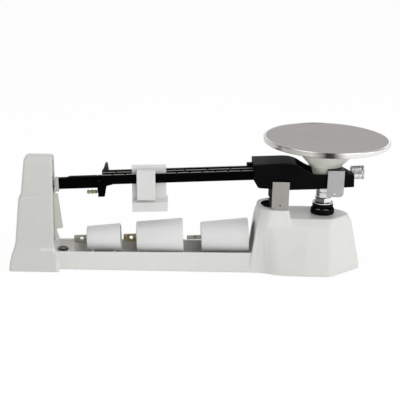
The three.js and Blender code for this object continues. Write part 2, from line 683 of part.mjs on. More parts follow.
const bracketScrew = rod(
  "z", screw.headRadius, stripZ[1] + seat, stripZ[1] + seat + screw.headHeight,
  [fulcrum.x, -bracket.screwY],
).add(rod(
  "z", screw.headRadius / 2, recessFloorZ + seat, stripZ[1] + screw.headHeight, [fulcrum.x, -bracket.screwY],
  tinyRoundSteps,
)).subtract(box(
  [fulcrum.x - screw.headRadius - overrun, fulcrum.x + screw.headRadius + overrun],
  [-bracket.screwY - screw.slotWidth / 2, -bracket.screwY + screw.slotWidth / 2],
  [stripZ[1] + seat + screw.headHeight - screw.slotDepth, stripZ[1] + screw.headHeight + overrun],
));
pair(baseGroup, "bracket_screw", bracketScrew, "steel");

// A bearing block with a groove that faces up for the fulcrum or down for the load
const bearingY = [cheekY[1] + seat, cheekY[1] + seat + bearing.thick];
function bearingBlock(x, z, up) {
  const way = up ? 1 : -1;
  const tip = z - way * running;
  return sideProfile(outlineShape([
    [x - bearing.halfWidth, tip + way * bearing.grooveDepth],
    [x - bearing.halfWidth, tip - way * bearing.height],
    [x + bearing.halfWidth, tip - way * bearing.height],
    [x + bearing.halfWidth, tip + way * bearing.grooveDepth],
    [x + bearing.grooveHalf, tip + way * bearing.grooveDepth],
    [x, tip],
    [x - bearing.grooveHalf, tip + way * bearing.grooveDepth],
  ]), bearingY);
}
pair(baseGroup, "fulcrum_bearing", bearingBlock(fulcrum.x, fulcrum.z, true), "agate");

// Ring on the deck round the stem's hole
const deckRing = turned([
  [grommet.innerRadius, pedestal.deckZ + seat], [grommet.outerRadius, pedestal.deckZ + seat],
  [grommet.outerRadius + seat, pedestal.deckZ + grommet.height / 2],
  [grommet.outerRadius - seat, pedestal.deckZ + grommet.height],
  [grommet.innerRadius + seat / 2, pedestal.deckZ + grommet.height],
]);
piece(baseGroup, "deck_ring", deckRing.translate([panX, 0, 0]), "rubber");

// A fork with its pin, used at both ends of the check link
function forkWithPin(x, pinZ, topZ) {
  const [half, gap] = [carrier.forkWidth / 2, carrier.forkGap / 2];
  const reach = link.eyeRadius + running;
  const ear = box([x - link.eyeRadius, x + link.eyeRadius], [-half, -gap], [pinZ - reach, pinZ + reach]);
  const bridge = box([x - link.eyeRadius, x + link.eyeRadius], [-half, half], [pinZ + reach, topZ]);
  const pin = rod("y", link.pinRadius, -half, half, [x, pinZ]);
  return together([ear, ear.mirror([0, 1, 0]), bridge, pin]);
}
const basePivot = { x: fulcrum.x - fulcrum.loadOffset, z: link.pivotZ };
const stemPivotZ = basePivot.z + fulcrum.armLength * Math.sin(tilt);
const checkBracket = forkWithPin(basePivot.x, basePivot.z, pedestal.deckZ - pedestal.wall - seat);
piece(baseGroup, "check_bracket", checkBracket, "steel");

// Check link, level in its own group and turned with the beam
const linkGroup = new THREE.Group();
linkGroup.position.set(basePivot.x, 0, basePivot.z);
linkGroup.rotation.y = -tilt;
balance.add(linkGroup);
const linkY = [-link.thick / 2, link.thick / 2];
const linkEye = (x) => rod("y", link.eyeRadius, ...linkY, [x, 0]);
const linkHole = (x) => rod("y", link.pinRadius + running, linkY[0] - overrun, linkY[1] + overrun, [x, 0]);
const linkSolid = together([
  linkEye(0), linkEye(fulcrum.armLength),
  box([0, fulcrum.armLength], linkY, [-link.barHalf, link.barHalf]),
]).subtract(linkHole(0)).subtract(linkHole(fulcrum.armLength));
piece(linkGroup, "check_link", linkSolid, "steel");

// Pan carrier, drawn round the pan's axis
const supportSolid = turned(supportProfile).subtract(
  rod("z", carrier.socketRadius, supportFloorZ - carrier.socketDepth, panTopZ, [0, 0], roundSteps),
);
const forkTopZ = stemPivotZ + link.eyeRadius + running + carrier.forkLength;
const stemSolid = together([
  rod("z", carrier.stemRadius, carrier.tubeLowZ, carrier.stemTopZ, [0, 0], roundSteps),
  rod("z", carrier.rodRadius, forkTopZ - overrun, carrier.tubeLowZ + overrun, [0, 0]),
  forkWithPin(0, stemPivotZ, forkTopZ),
]);
piece(carrierGroup, "pan_stem", stemSolid, "steel");

const nutHole = rod("z", carrier.rodRadius + seat, 0, panTopZ, [0, 0]);
const nutSolid = rod("z", carrier.nutAcross, carrier.nutZ, carrier.tubeLowZ - seat, [0, 0], hexagonSides)
  .add(rod("z", carrier.flangeRadius, carrier.nutFlangeZ, carrier.nutZ, [0, 0], roundSteps))
  .subtract(nutHole);
piece(carrierGroup, "stem_nut", nutSolid, "steel");
const bumperTop = carrier.nutFlangeZ - seat;
const bumper = turned([
  [0, carrier.bumperLowZ], [carrier.bumperRadius - seat, carrier.bumperLowZ],
  [carrier.bumperRadius, (carrier.bumperLowZ + bumperTop) / 2], [carrier.bumperRadius - seat, bumperTop],
  [0, bumperTop],
]).subtract(nutHole);
piece(carrierGroup, "stem_bumper", bumper, "rubber");

const stirrupX = [fulcrum.loadOffset - stirrup.halfWidth, fulcrum.loadOffset + stirrup.halfWidth];
const supportClear = rod("z", supportNeck[0] + seat, 0, panTopZ, [0, 0], roundSteps);
const strapMiddle = box(
  [stirrupX[0] - overrun, stirrupX[1] + overrun], [-supportBase[0] / 2, overrun], [0, panTopZ],
);
const stirrupSolid = sideProfile(
  cheekShape(stirrupX, [stirrup.bottomZ, stirrup.topZ], stirrup.cornerRound, false), cheekY,
).add(box(stirrupX, [cheekY[0], 0], [stirrup.topZ - bracket.sheet, stirrup.topZ])
  .subtract(strapMiddle).subtract(supportClear))
  .subtract(rod(
    "y", stirrup.dotRadius, cheekY[0] - overrun, cheekY[1] + overrun,
    [fulcrum.loadOffset - stirrup.dotX, stirrup.dotZ], tinyRoundSteps,
  ));
pair(carrierGroup, "stirrup", stirrupSolid, "steel");
pair(carrierGroup, "load_bearing", bearingBlock(fulcrum.loadOffset, loadAxis.z, false), "agate");
piece(carrierGroup, "pan_support", supportSolid, "moulding");

// Pan: a sheet with a stepped, rolled rim and a hub that drops into the support
const panFloor = panTopZ - pan.dish;
const panUnder = panFloor - pan.sheet;
const panLow = panTopZ - pan.rimHeight;
const hubLow = supportFloorZ + seat;
const panProfile = [
  [0, hubLow], [hubRadius - seat, hubLow], [hubRadius, hubLow + seat], [hubRadius, panUnder],
  [pan.radius - pan.rimWidth - pan.sheet, panUnder], [pan.radius - pan.rimWidth, panLow + pan.sheet],
  [pan.radius - pan.sheet, panLow], [pan.radius - pan.sheet / 4, panLow + pan.sheet / 4],
  [pan.radius, panLow + pan.sheet], [pan.radius, panTopZ - pan.sheet],
  [pan.radius - pan.sheet / 4, panTopZ - pan.sheet / 4], [pan.radius - pan.sheet, panTopZ],
  [pan.radius - pan.rimWidth + pan.sheet, panTopZ - pan.sheet / 4],
  [pan.radius - pan.rimWidth - pan.sheet / 2, panFloor], [0, panFloor],
];
piece(carrierGroup, "pan", turned(panProfile, panRoundSteps), "panSteel");

// Yoke casting, whose open end follows the load axis
const loadX = fulcrum.x + fulcrum.armLength;
const yokeRightX = loadX + yoke.nearLength;
const crossX = loadX + yoke.middleLength - yoke.crossThick;
function yokeProfile() {
  const [left, right] = [yoke.leftX, yokeRightX + yoke.edge];
  const [top, arm] = [yoke.plateauZ, yoke.armZ];
  const shape = new THREE.Shape();
  shape.moveTo(left + yoke.cornerX, yoke.bottomZ - yoke.edge);
  shape.lineTo(right, yoke.bottomZ - yoke.edge);
  shape.lineTo(right, arm);
  shape.lineTo(yoke.armStartX, arm);
  const reach = (yoke.armStartX - yoke.plateauEndX) / 2;
  shape.bezierCurveTo(yoke.armStartX - reach, arm, yoke.plateauEndX + reach, top, yoke.plateauEndX, top);
  shape.lineTo(left, top);
  shape.lineTo(left, yoke.cornerZ);
  return shape;
}

// The open end runs askew, seen from above; back is how far behind the end's outer face the line lies
function yokeEnd(back, leftX, halfWidth, z) {
  const near = loadX + yoke.nearLength - back;
  const middle = loadX + yoke.middleLength - back;
  const far = loadX + yoke.farLength - back;
  const plan = outlineShape([
    [leftX, -halfWidth], [near, -halfWidth], [near, -yoke.halfWidth + yoke.wall], [middle, 0],
    [far, yoke.halfWidth - yoke.wall], [far, halfWidth], [leftX, halfWidth],
  ]);
  const made = new THREE.ExtrudeGeometry(plan, { depth: z[1] - z[0], bevelEnabled: false });
  made.translate(0, 0, z[0]);
  return solid(made);
}
const yokeLength = yokeRightX - yoke.leftX;
const yokeHeight = yoke.plateauZ - yoke.bottomZ;
const bellyPoint = ([along, rise]) => [yoke.leftX + along * yokeLength, yoke.bottomZ + rise * yokeHeight];
const yokeBelly = sideProfile(outlineShape([
  ...yokeBellyShares.map(bellyPoint),
  [yokeRightX + yoke.edge, panTopZ], [yoke.leftX - overrun, panTopZ],
]), [-yoke.halfWidth - overrun, yoke.halfWidth + overrun]);
const yokeOuter = sideProfile(yokeProfile(), [-yoke.halfWidth, yoke.halfWidth], yoke.edge)
  .intersect(yokeBelly)
  .intersect(yokeEnd(0, yoke.leftX - overrun, yoke.halfWidth + overrun, [yoke.bottomZ, panTopZ]));
const cavityStart = yoke.leftX + yoke.wall + yoke.cornerX;
const yokeCavity = yokeEnd(
  yoke.crossThick, cavityStart, yoke.halfWidth - yoke.wall, [0, yoke.plateauZ - yoke.plateThick],
).add(yokeEnd(yoke.crossThick, yoke.plateEndX, yoke.halfWidth - yoke.wall, [0, panTopZ]));
const lug = box(
  [yoke.leftX - yoke.lugX, yoke.leftX + overrun], [yoke.lugY, yoke.lugY + yoke.lugWidth],
  [yoke.lugZ, yoke.lugZ + yoke.lugHeight],
);
const knifeShape = (x, way, grow) => outlineShape([
  [x, fulcrum.z - way * grow], [x + knife.halfWidth + grow, fulcrum.z + way * knife.shoulder],
  [x + knife.halfWidth + grow, fulcrum.z + way * (knife.height + grow)],
  [x - knife.halfWidth - grow, fulcrum.z + way * (knife.height + grow)],
  [x - knife.halfWidth - grow, fulcrum.z + way * knife.shoulder],
]);
const knives = [["fulcrum_knife", fulcrum.x, 1], ["load_knife", loadX, -1]];
let yokeSolid = yokeOuter.subtract(yokeCavity).add(lug);
knives.forEach(([name, x, way]) => {
  yokeSolid = yokeSolid.subtract(sideProfile(
    knifeShape(x, way, seat), [-yoke.halfWidth - overrun, yoke.halfWidth + overrun],
  ));
  pair(beamGroup, name, sideProfile(knifeShape(x, way, 0), [-knife.reach, -knife.root]), "steel");
});
const beamPlaces = { near: -beam.spacing, middle: 0, far: beam.spacing };
const beamBottom = beam.topZ - beam.height;
const beamBar = (y, grow, x) => box(
  x, [y - beam.thick / 2 - grow, y + beam.thick / 2 + grow], [beamBottom - grow, beam.topZ + grow],
);
Object.values(beamPlaces).forEach((y) => {
  yokeSolid = yokeSolid.subtract(beamBar(y, seat, [yoke.leftX - overrun, beam.rightX + overrun]));
});
const studHole = rod(
  "x", zeroAdjust.studRadius + seat, crossX - overrun, yokeRightX + overrun, [0, zeroAdjust.z],
);
piece(beamGroup, "yoke_casting", yokeSolid.subtract(studHole), "castingBlack");
Object.entries(beamPlaces).forEach(([side, y]) => {
  piece(beamGroup, side + "_beam", beamBar(y, 0, [beam.leftX, beam.rightX]), "blackEnamel");
});

// Zero adjustment
const studX = [crossX, crossX + zeroAdjust.studLength];
piece(beamGroup, "zero_stud", rod("x", zeroAdjust.studRadius, ...studX, [0, zeroAdjust.z]), "steel");
const knobX = crossX + zeroAdjust.knobLead;
const knobEnd = knobX + zeroAdjust.knobLength;
const flangeX = knobEnd - zeroAdjust.flangeLength;
let knob = rod("x", zeroAdjust.knobRadius, knobX, knobEnd, [0, zeroAdjust.z], roundSteps).add(
  rod("x", zeroAdjust.flangeRadius, flangeX, knobEnd, [0, zeroAdjust.z], roundSteps),
);
for (let i = 0; i < zeroAdjust.knurls; i++) {
  const angle = (i / zeroAdjust.knurls) * 2 * halfTurn;
  const reach = zeroAdjust.knobRadius;
  knob = knob.subtract(rod(
    "x", zeroAdjust.knurlDepth, knobX - overrun, flangeX,
    [reach * Math.cos(angle), zeroAdjust.z + reach * Math.sin(angle)], hexagonSides,
  ));
}
knob = knob.subtract(rod(
  "x", zeroAdjust.studRadius + running, knobX - overrun, studX[1] + running, [0, zeroAdjust.z],
));
piece(beamGroup, "zero_knob", knob, "steel");

// End crosspiece, pointer arm, tip, vane and hanger pin
const crossRange = [crosspiece.leftX, beam.leftX - seat];
const crossTop = box(
  crossRange, [-crosspiece.halfWidth, crosspiece.halfWidth], [beamBottom - 2 * beam.thick, crosspiece.topZ],
).add(box(
  crossRange, [-pointerArm.thick / 2, pointerArm.thick / 2], [pointerArm.bottomZ, pointerArm.topZ],
));
const crossBlock = sideProfile(outlineShape([
  [crosspiece.leftX, crosspiece.blockBottomZ],
  [crosspiece.blockRightX - crosspiece.blockSlope, crosspiece.blockBottomZ],
  [crosspiece.blockRightX, crosspiece.blockTopZ - crosspiece.lipHeight],
  [crosspiece.lipX, crosspiece.blockTopZ - crosspiece.lipHeight / 2],
  [crosspiece.lipX, crosspiece.blockTopZ],
  [crosspiece.leftX, crosspiece.blockTopZ],
]), [-crosspiece.blockHalfWidth, crosspiece.blockHalfWidth]);
let crossSolid = crossTop.add(crossBlock);
Object.values(beamPlaces).forEach((y) => {
  crossSolid = crossSolid.subtract(beamBar(y, seat, [beam.leftX - seat, beam.rightX]));
});
const pinHole = rod(
  "x", hangerPin.neckRadius + seat, crosspiece.leftX - overrun, crosspiece.leftX + overrun, [0, hangerPin.z],
);
piece(beamGroup, "end_crosspiece", crossSolid.subtract(pinHole), "blackEnamel");

const armShape = outlineShape([
  [pointerArm.leftX, pointerArm.bottomZ], [crosspiece.leftX - seat, pointerArm.bottomZ],
  [crosspiece.leftX - seat, pointerArm.topZ], [pointerArm.stepX, pointerArm.topZ],
  [pointerArm.stepX - pointerArm.thick / 2, pointerArm.tipTopZ], [pointerArm.leftX, pointerArm.tipTopZ],
]);
const armSolid = sideProfile(armShape, [-pointerArm.thick / 2, pointerArm.thick / 2]);
piece(beamGroup, "pointer_arm", armSolid, "blackEnamel");
const tipShape = new THREE.Shape();
const tipShoulderZ = pointerTip.topZ - pointerTip.round;
tipShape.moveTo(-pointerTip.halfWidth, pointerTip.bottomZ);
tipShape.lineTo(pointerTip.halfWidth, pointerTip.bottomZ);
tipShape.lineTo(pointerTip.halfWidth, tipShoulderZ);
tipShape.quadraticCurveTo(pointerTip.halfWidth, pointerTip.topZ, 0, pointerTip.topZ);
tipShape.quadraticCurveTo(-pointerTip.halfWidth, pointerTip.topZ, -pointerTip.halfWidth, tipShoulderZ);
const tipX = [pointerArm.leftX - seat - pointerTip.thick, pointerArm.leftX - seat];
piece(beamGroup, "pointer_tip", endProfile(tipShape, tipX), "tipWhite");
piece(
  beamGroup, "damper_vane", box(vaneX, [-damper.vaneThick / 2, damper.vaneThick / 2], vaneZ), "steel",
);
const pinEnd = crosspiece.leftX - hangerPin.length;
let pinSolid = rod(
  "x", hangerPin.neckRadius, pinEnd, crosspiece.leftX + overrun - seat, [0, hangerPin.z],
);
const collar = (hangerPin.length - hangerPin.endLength) / (2 * hangerPin.grooves + 1);
for (let i = 0; i <= hangerPin.grooves; i++) {
  const x = pinEnd + hangerPin.endLength * (i > 0 ? 1 : 0) + (i > 0 ? 2 * i - 1 : 0) * collar;
  const end = i > 0 ? x + collar : x + hangerPin.endLength;
  pinSolid = pinSolid.add(rod("x", hangerPin.radius, x, end, [0, hangerPin.z]));
}
piece(beamGroup, "hanger_pin", pinSolid, "brass");

// Poises, each with a window round its beam
const windowFor = (y, x) => beamBar(y, poises.windowGap, [x[0] - overrun, x[1] + overrun]);
function blockWithEdge(x, y, z, edge) {
  return sideProfile(outlineShape([[x[0], z[0]], [x[1], z[0]], [x[1], z[1]], [x[0], z[1]]]), y, edge);
}
const largeLow = endProfile(outlineShape([
  [-largePoise.lowHalfThick + largePoise.edge, largePoise.bottomZ],
  [largePoise.lowHalfThick - largePoise.edge, largePoise.bottomZ],
  [largePoise.lowHalfThick, largePoise.bottomZ + largePoise.edge],
  [largePoise.lowHalfThick, largePoise.ledgeZ],
  [largePoise.halfThick, largePoise.ledgeTopZ], [-largePoise.halfThick, largePoise.ledgeTopZ],
  [-largePoise.lowHalfThick, largePoise.ledgeZ],
  [-largePoise.lowHalfThick, largePoise.bottomZ + largePoise.edge],
]), [largePoise.leftX, largePoise.lowRightX]);
const largeOuter = blockWithEdge(
  [largePoise.leftX, largePoise.rightX], [-largePoise.halfThick, largePoise.halfThick],
  [largePoise.ledgeZ, largePoise.topZ], largePoise.edge,
).add(largeLow);
const large = hungBack(largeOuter, (largePoise.leftX + largePoise.rightX) / 2)
  .subtract(windowFor(beamPlaces.middle, [largePoise.leftX, largePoise.lowRightX]));
piece(beamGroup, "large_poise", large, "weightEnamel");
const middleX = [middlePoise.leftX, middlePoise.rightX];
const middleOuter = blockWithEdge(
  middleX, [middlePoise.outerY, middlePoise.innerY], [middlePoise.bottomZ, middlePoise.topZ],
  middlePoise.edge,
);
const middleSolid = hungBack(middleOuter, (middlePoise.leftX + middlePoise.rightX) / 2)
  .subtract(windowFor(beamPlaces.near, middleX));
piece(beamGroup, "middle_poise", middleSolid, "weightEnamel");
const smallX = [smallPoise.x - smallPoise.length / 2, smallPoise.x + smallPoise.length / 2];
const smallY = [beamPlaces.far - smallPoise.thick / 2, beamPlaces.far + smallPoise.thick / 2];
const fin = new THREE.Shape();
fin.moveTo(smallX[0], smallPoise.topZ);
fin.lineTo(smallX[0], smallPoise.bottomZ);
fin.lineTo(smallX[1], smallPoise.bottomZ);
fin.lineTo(smallX[1], smallPoise.topZ);
fin.lineTo(smallPoise.x + smallPoise.finLength / 2, smallPoise.finZ - smallPoise.finRound);
fin.quadraticCurveTo(
  smallPoise.x + smallPoise.finLength / 4, smallPoise.finZ, smallPoise.x, smallPoise.finZ,
);
fin.quadraticCurveTo(
  smallPoise.x - smallPoise.finLength / 4, smallPoise.finZ,
  smallPoise.x - smallPoise.finLength / 2, smallPoise.finZ - smallPoise.finRound,
);
const smallSolid = sideProfile(fin, smallY).subtract(windowFor(beamPlaces.far, smallX));
piece(beamGroup, "small_poise", smallSolid, "darkPlastic");

// Attachment weights on their sides, small end towards the post
Object.entries(weights).forEach(([name, w]) => {
  const pocketRadius = w.largeRadius * hangPlate.pocketShare;
  const length = w.rightX - w.leftX;
  const pocketX = length - hangPlate.pocketDepth;
  const along = solid(weightGeometry([
    [0, 0], [w.smallRadius - hangPlate.edge, 0], [w.smallRadius, hangPlate.edge],
    [w.largeRadius, length - hangPlate.edge], [w.largeRadius - hangPlate.edge, length],
    [pocketRadius, length], [pocketRadius, pocketX], [0, pocketX],
  ]));
  const plateX = [-w.plateLength, hangPlate.buried];
  const half = hangPlate.height / 2;
  const plate = new THREE.Shape();
  plate.moveTo(plateX[1], -half);
  plate.lineTo(plateX[1], half);
  plate.lineTo(plateX[0] + half, half);
  plate.absarc(plateX[0] + half, 0, half, quarterTurn, 3 * quarterTurn, false);
  const slot = box(
    [plateX[0], plateX[1] + seat], [-hangPlate.thick / 2 - seat, hangPlate.thick / 2 + seat],
    [-half - seat, half + seat],
  );
  const rolled = (made) => laidDown(w, made.rotate([w.plateRoll, 0, 0]));
  piece(baseGroup, name + "_weight", laidDown(w, along).subtract(rolled(slot)), "weightEnamel");
  const hole = rod("y", hangPlate.holeRadius, -overrun, overrun, [plateX[0] + half, 0]);
  const plateSolid = sideProfile(plate, [-hangPlate.thick / 2, hangPlate.thick / 2]).subtract(hole);
  piece(baseGroup, name + "_weight_plate", rolled(plateSolid), "brass");
});

// The origin lies under the middle of the outline
balance.position.x = -(post.leftX + panX + pan.radius) / 2;

export default balance;
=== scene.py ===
import json
import math

import bmesh
import bpy
from mathutils import Matrix, Vector

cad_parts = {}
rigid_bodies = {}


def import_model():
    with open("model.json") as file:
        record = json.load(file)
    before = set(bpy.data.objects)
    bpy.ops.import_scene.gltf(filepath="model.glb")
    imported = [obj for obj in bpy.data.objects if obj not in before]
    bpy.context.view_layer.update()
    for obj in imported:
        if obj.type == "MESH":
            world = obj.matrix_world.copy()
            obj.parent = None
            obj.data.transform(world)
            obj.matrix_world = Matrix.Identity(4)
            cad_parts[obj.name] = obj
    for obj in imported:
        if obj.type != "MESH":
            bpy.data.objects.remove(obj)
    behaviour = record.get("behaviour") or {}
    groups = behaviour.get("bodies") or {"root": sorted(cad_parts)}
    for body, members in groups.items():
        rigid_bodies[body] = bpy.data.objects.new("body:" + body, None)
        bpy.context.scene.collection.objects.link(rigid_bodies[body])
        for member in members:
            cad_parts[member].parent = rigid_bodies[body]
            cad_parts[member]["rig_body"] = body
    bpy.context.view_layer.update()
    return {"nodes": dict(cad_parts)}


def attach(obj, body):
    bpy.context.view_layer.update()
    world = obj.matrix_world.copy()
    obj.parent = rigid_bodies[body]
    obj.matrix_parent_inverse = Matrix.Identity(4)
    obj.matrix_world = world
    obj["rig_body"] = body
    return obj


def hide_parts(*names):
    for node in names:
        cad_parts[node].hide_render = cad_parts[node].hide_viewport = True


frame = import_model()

# Places are written in millimetres from the pan's axis, as on the drawing, and turned into metres here.
mm = 0.001
panAxisX = 148.85
fulcrum = {"x": -54.0, "z": 108.0, "tilt": math.radians(3.1)}
whole = 2 * math.pi
print("frame loaded:", len(frame["nodes"]), "nodes")


def atRest(x, y, z):
    return Vector(((x + panAxisX) * mm, y * mm, z * mm))


# the beam is drawn level, then turned down to its lower stop
def onBeam(x, y, z):
    c, s = math.cos(fulcrum["tilt"]), math.sin(fulcrum["tilt"])
    dx, dz = x - fulcrum["x"], z - fulcrum["z"]
    return atRest(fulcrum["x"] + dx * c - dz * s, y, fulcrum["z"] + dz * c + dx * s)


# camera
cameraPlace = {"x": -192.94, "y": -1257.60, "z": 478.10, "yaw": -0.03577, "pitch": 0.30458, "roll": 0.03102,
               "pixelsFocal": 1100.0, "pixelsWide": 400.0, "sensor": 36.0}


def makeCamera():
    p = cameraPlace
    data = bpy.data.cameras.new("studioCamera")
    data.sensor_fit = "HORIZONTAL"
    data.sensor_width = p["sensor"]
    data.lens = p["pixelsFocal"] / p["pixelsWide"] * p["sensor"]
    data.clip_start, data.clip_end = 0.05, 50.0
    camera = bpy.data.objects.new("studioCamera", data)
    bpy.context.scene.collection.objects.link(camera)
    yaw, pitch, roll = p["yaw"], p["pitch"], p["roll"]
    ahead = Vector((-math.sin(yaw) * math.cos(pitch), math.cos(yaw) * math.cos(pitch), -math.sin(pitch)))
    level = Vector((math.cos(yaw), math.sin(yaw), 0.0))
    upright = level.cross(ahead)
    right = level * math.cos(roll) + upright * math.sin(roll)
    up = upright * math.cos(roll) - level * math.sin(roll)
    turn = Matrix((right, up, -ahead)).transposed().to_4x4()
    camera.matrix_world = Matrix.Translation(atRest(p["x"], p["y"], p["z"])) @ turn
    bpy.context.scene.camera = camera


makeCamera()


# shader wiring
class Wire:
    def __init__(self, finish, socket):
        self.finish = finish
        self.socket = socket

    def maths(self, operation, first, second):
        return self.finish.node("ShaderNodeMath", {"operation": operation}, {0: first, 1: second})

    def __add__(self, other):
        return self.maths("ADD", self, other)

    def __radd__(self, other):
        return self.maths("ADD", other, self)

    def __sub__(self, other):
        return self.maths("SUBTRACT", self, other)

    def __rsub__(self, other):
        return self.maths("SUBTRACT", other, self)

    def __mul__(self, other):
        return self.maths("MULTIPLY", self, other)

    def __rmul__(self, other):
        return self.maths("MULTIPLY", other, self)

    def __pow__(self, other):
        return self.maths("POWER", self, other)


class Finish:
    def __init__(self, name):
        self.material = bpy.data.materials.new(name)
        self.material.use_nodes = True
        self.tree = self.material.node_tree
        self.tree.nodes.clear()
        self.output = self.tree.nodes.new("ShaderNodeOutputMaterial")

    def feed(self, socket, value):
        if isinstance(value, Wire):
            self.tree.links.new(value.socket, socket)
        else:
            socket.default_value = value

    def node(self, kind, settings=None, inputs=None, output=0):
        made = self.tree.nodes.new(kind)
        for key, value in (settings or {}).items():
            if key == "stops":
                ramp = made.color_ramp
                while len(ramp.elements) < len(value):
                    ramp.elements.new(0.5)
                for element, (position, colour) in zip(ramp.elements, value):
                    element.position = position
                    element.color = (*colour, 1.0)
            else:
                setattr(made, key, value)
        for key, value in (inputs or {}).items():
            self.feed(made.inputs[key], value)
        return Wire(self, made.outputs[output])

    # places on the object, in metres
    def place(self):
        return self.node("ShaderNodeTexCoord", output="Object")

    def axis(self, which):
        return self.node("ShaderNodeSeparateXYZ", inputs={0: self.place()}, output=which)

    def facing(self, which):
        turned = self.node("ShaderNodeNewGeometry", output="Normal")
        return self.node("ShaderNodeSeparateXYZ", inputs={0: turned}, output=which)

    def scaled(self, x, y, z):
        return self.node("ShaderNodeVectorMath", {"operation": "MULTIPLY"}, {0: self.place(), 1: (x, y, z)})

    def noise(self, scale, detail=2.0, roughness=0.5, vector=None):
        return self.node("ShaderNodeTexNoise", {"noise_dimensions": "3D"}, {
            "Vector": vector or self.place(), "Scale": scale, "Detail": detail, "Roughness": roughness,
        }, "Fac")

    def spread(self, value, low, high, outLow=0.0, outHigh=1.0):
        return self.node("ShaderNodeMapRange", {"clamp": True}, {
            "Value": value, "From Min": low, "From Max": high, "To Min": outLow, "To Max": outHigh,
        })

    def blend(self, factor, first, second):
        return self.node("ShaderNodeMix", {"data_type": "RGBA"}, {
            0: factor,
            6: first if isinstance(first, Wire) else (*first, 1.0),
            7: second if isinstance(second, Wire) else (*second, 1.0),
        }, 2)

    def bump(self, height, strength, distance):
        inputs = {"Height": height, "Strength": strength, "Distance": distance}
        return self.node("ShaderNodeBump", inputs=inputs)

    def surface(self, **values):
        shader = self.tree.nodes.new("ShaderNodeBsdfPrincipled")
        names = {"colour": "Base Color", "roughness": "Roughness", "metallic": "Metallic", "normal": "Normal",
                 "coat": "Coat Weight", "coatRoughness": "Coat Roughness", "specular": "Specular IOR Level"}
        for key, value in values.items():
            if key == "colour" and not isinstance(value, Wire):
                value = (*value, 1.0)
            self.feed(shader.inputs[names[key]], value)
        self.tree.links.new(shader.outputs[0], self.output.inputs[0])
        return self.material


# finishes
def darker(colour, share):
    return tuple(c * share for c in colour)


def paintedCasting(name, colour, shade, grain=0.5, roughness=0.42):
    f = Finish(name)
    cloudy = f.noise(14.0, 4.0, 0.6)
    fine = f.noise(1500.0, 2.0, 0.5)
    peel = f.noise(420.0, 2.0, 0.5)
    dust = f.spread(f.noise(90.0, 6.0, 0.7), 0.52, 0.75)
    base = f.blend(f.spread(cloudy, 0.3, 0.7), colour, shade)
    tint = f.blend(dust * 0.10, base, darker(shade, 0.8))
    rough = roughness + (cloudy - 0.5) * 0.12 + (fine - 0.5) * 0.08
    return f.surface(colour=tint, roughness=rough, normal=f.bump(peel + fine * 0.4, 0.16 * grain, 0.0006),
                     coat=0.12, coatRoughness=0.3)


def blackPaint(name, colour, shade, upward, roughness, peelSize=520.0, gloss=0.015, turned=(0.80, 0.97)):
    f = Finish(name)
    cloudy = f.noise(30.0, 4.0, 0.6)
    peel = f.noise(peelSize, 2.0, 0.5)
    specks = f.spread(f.noise(900.0, 3.0, 0.6), 0.66, 0.78)
    base = f.blend(f.spread(cloudy, 0.3, 0.7), colour, shade)
    worn = f.blend(specks * 0.25, base, tuple(min(1.0, c * 3 + 0.01) for c in shade))
    dustAndSheen = f.spread(f.facing("Z"), *turned) * (0.85 + cloudy * 0.3)   # faces turned up are made lighter: some dust, and a painted sheen of the light from above
    return f.surface(colour=f.blend(dustAndSheen, worn, upward), roughness=roughness + (cloudy - 0.5) * 0.14,
                     normal=f.bump(peel, 0.10, 0.0004), specular=gloss)


def brushedSheet(name, colour, direction, roughness=0.34, contrast=0.1):
    f = Finish(name)
    along = f.scaled(*direction)
    hair = f.noise(1.0, 3.0, 0.65, along)
    cloudy = f.noise(26.0, 4.0, 0.6)
    shade = tuple(c * (1 - contrast) for c in colour)
    base = f.blend(hair, colour, shade)
    dulled = f.blend(f.spread(cloudy, 0.45, 0.8) * 0.2, base, darker(colour, 0.85))
    rough = roughness + (hair - 0.5) * 0.10 + (cloudy - 0.5) * 0.06
    return f.surface(colour=dulled, metallic=1.0, roughness=rough, normal=f.bump(hair, 0.03, 0.0001))


# painted light: faces at a bend get a painted highlight, faces turned straight up are painted dark as shade,
# and the half on the far side (+Y) is painted darker as shade
def bentSheet(name, colour, roughness=0.40):
    f = Finish(name)
    hair = f.noise(1.0, 3.0, 0.65, f.scaled(260.0, 260.0, 2200.0))
    cloudy = f.noise(60.0, 5.0, 0.65)
    base = f.blend(hair, colour, darker(colour, 0.88))
    dulled = f.blend(f.spread(cloudy, 0.42, 0.75) * 0.45, base, darker(colour, 0.76))
    up = f.facing("Z")
    bendHighlight = f.spread(up, 0.12, 0.45) * f.spread(up, 0.82, 0.95, 1.0, 0.0)
    lit = f.blend(bendHighlight * 0.85, dulled, (0.96, 0.96, 0.95))
    flat = f.blend(f.spread(up, 0.88, 0.98), lit, darker(colour, 0.10))
    inner = f.blend(hair, darker(colour, 0.18), darker(colour, 0.55))
    return f.surface(colour=f.blend(f.spread(f.axis("Y"), -0.004, 0.004), flat, inner), metallic=1.0,
                     roughness=roughness + (hair - 0.5) * 0.10, normal=f.bump(hair, 0.03, 0.0001))


# painted reflection, fixed by the way a face is turned: faces turned left are painted darker than those turned
# right, and faces turned up take their own painted tone
def facetSteel(name, dark, bright, top):
    f = Finish(name)
    hair = f.noise(1.0, 3.0, 0.6, f.scaled(300.0, 300.0, 1800.0))
    sides = f.blend(f.spread(f.facing("X"), -0.35, 0.35), dark, bright)
    base = f.blend(f.spread(f.facing("Z"), 0.6, 0.95), sides, top)
    return f.surface(colour=f.blend(hair * 0.25, base, dark), metallic=1.0,
                     roughness=0.20 + (hair - 0.5) * 0.1, normal=f.bump(hair, 0.03, 0.0001))


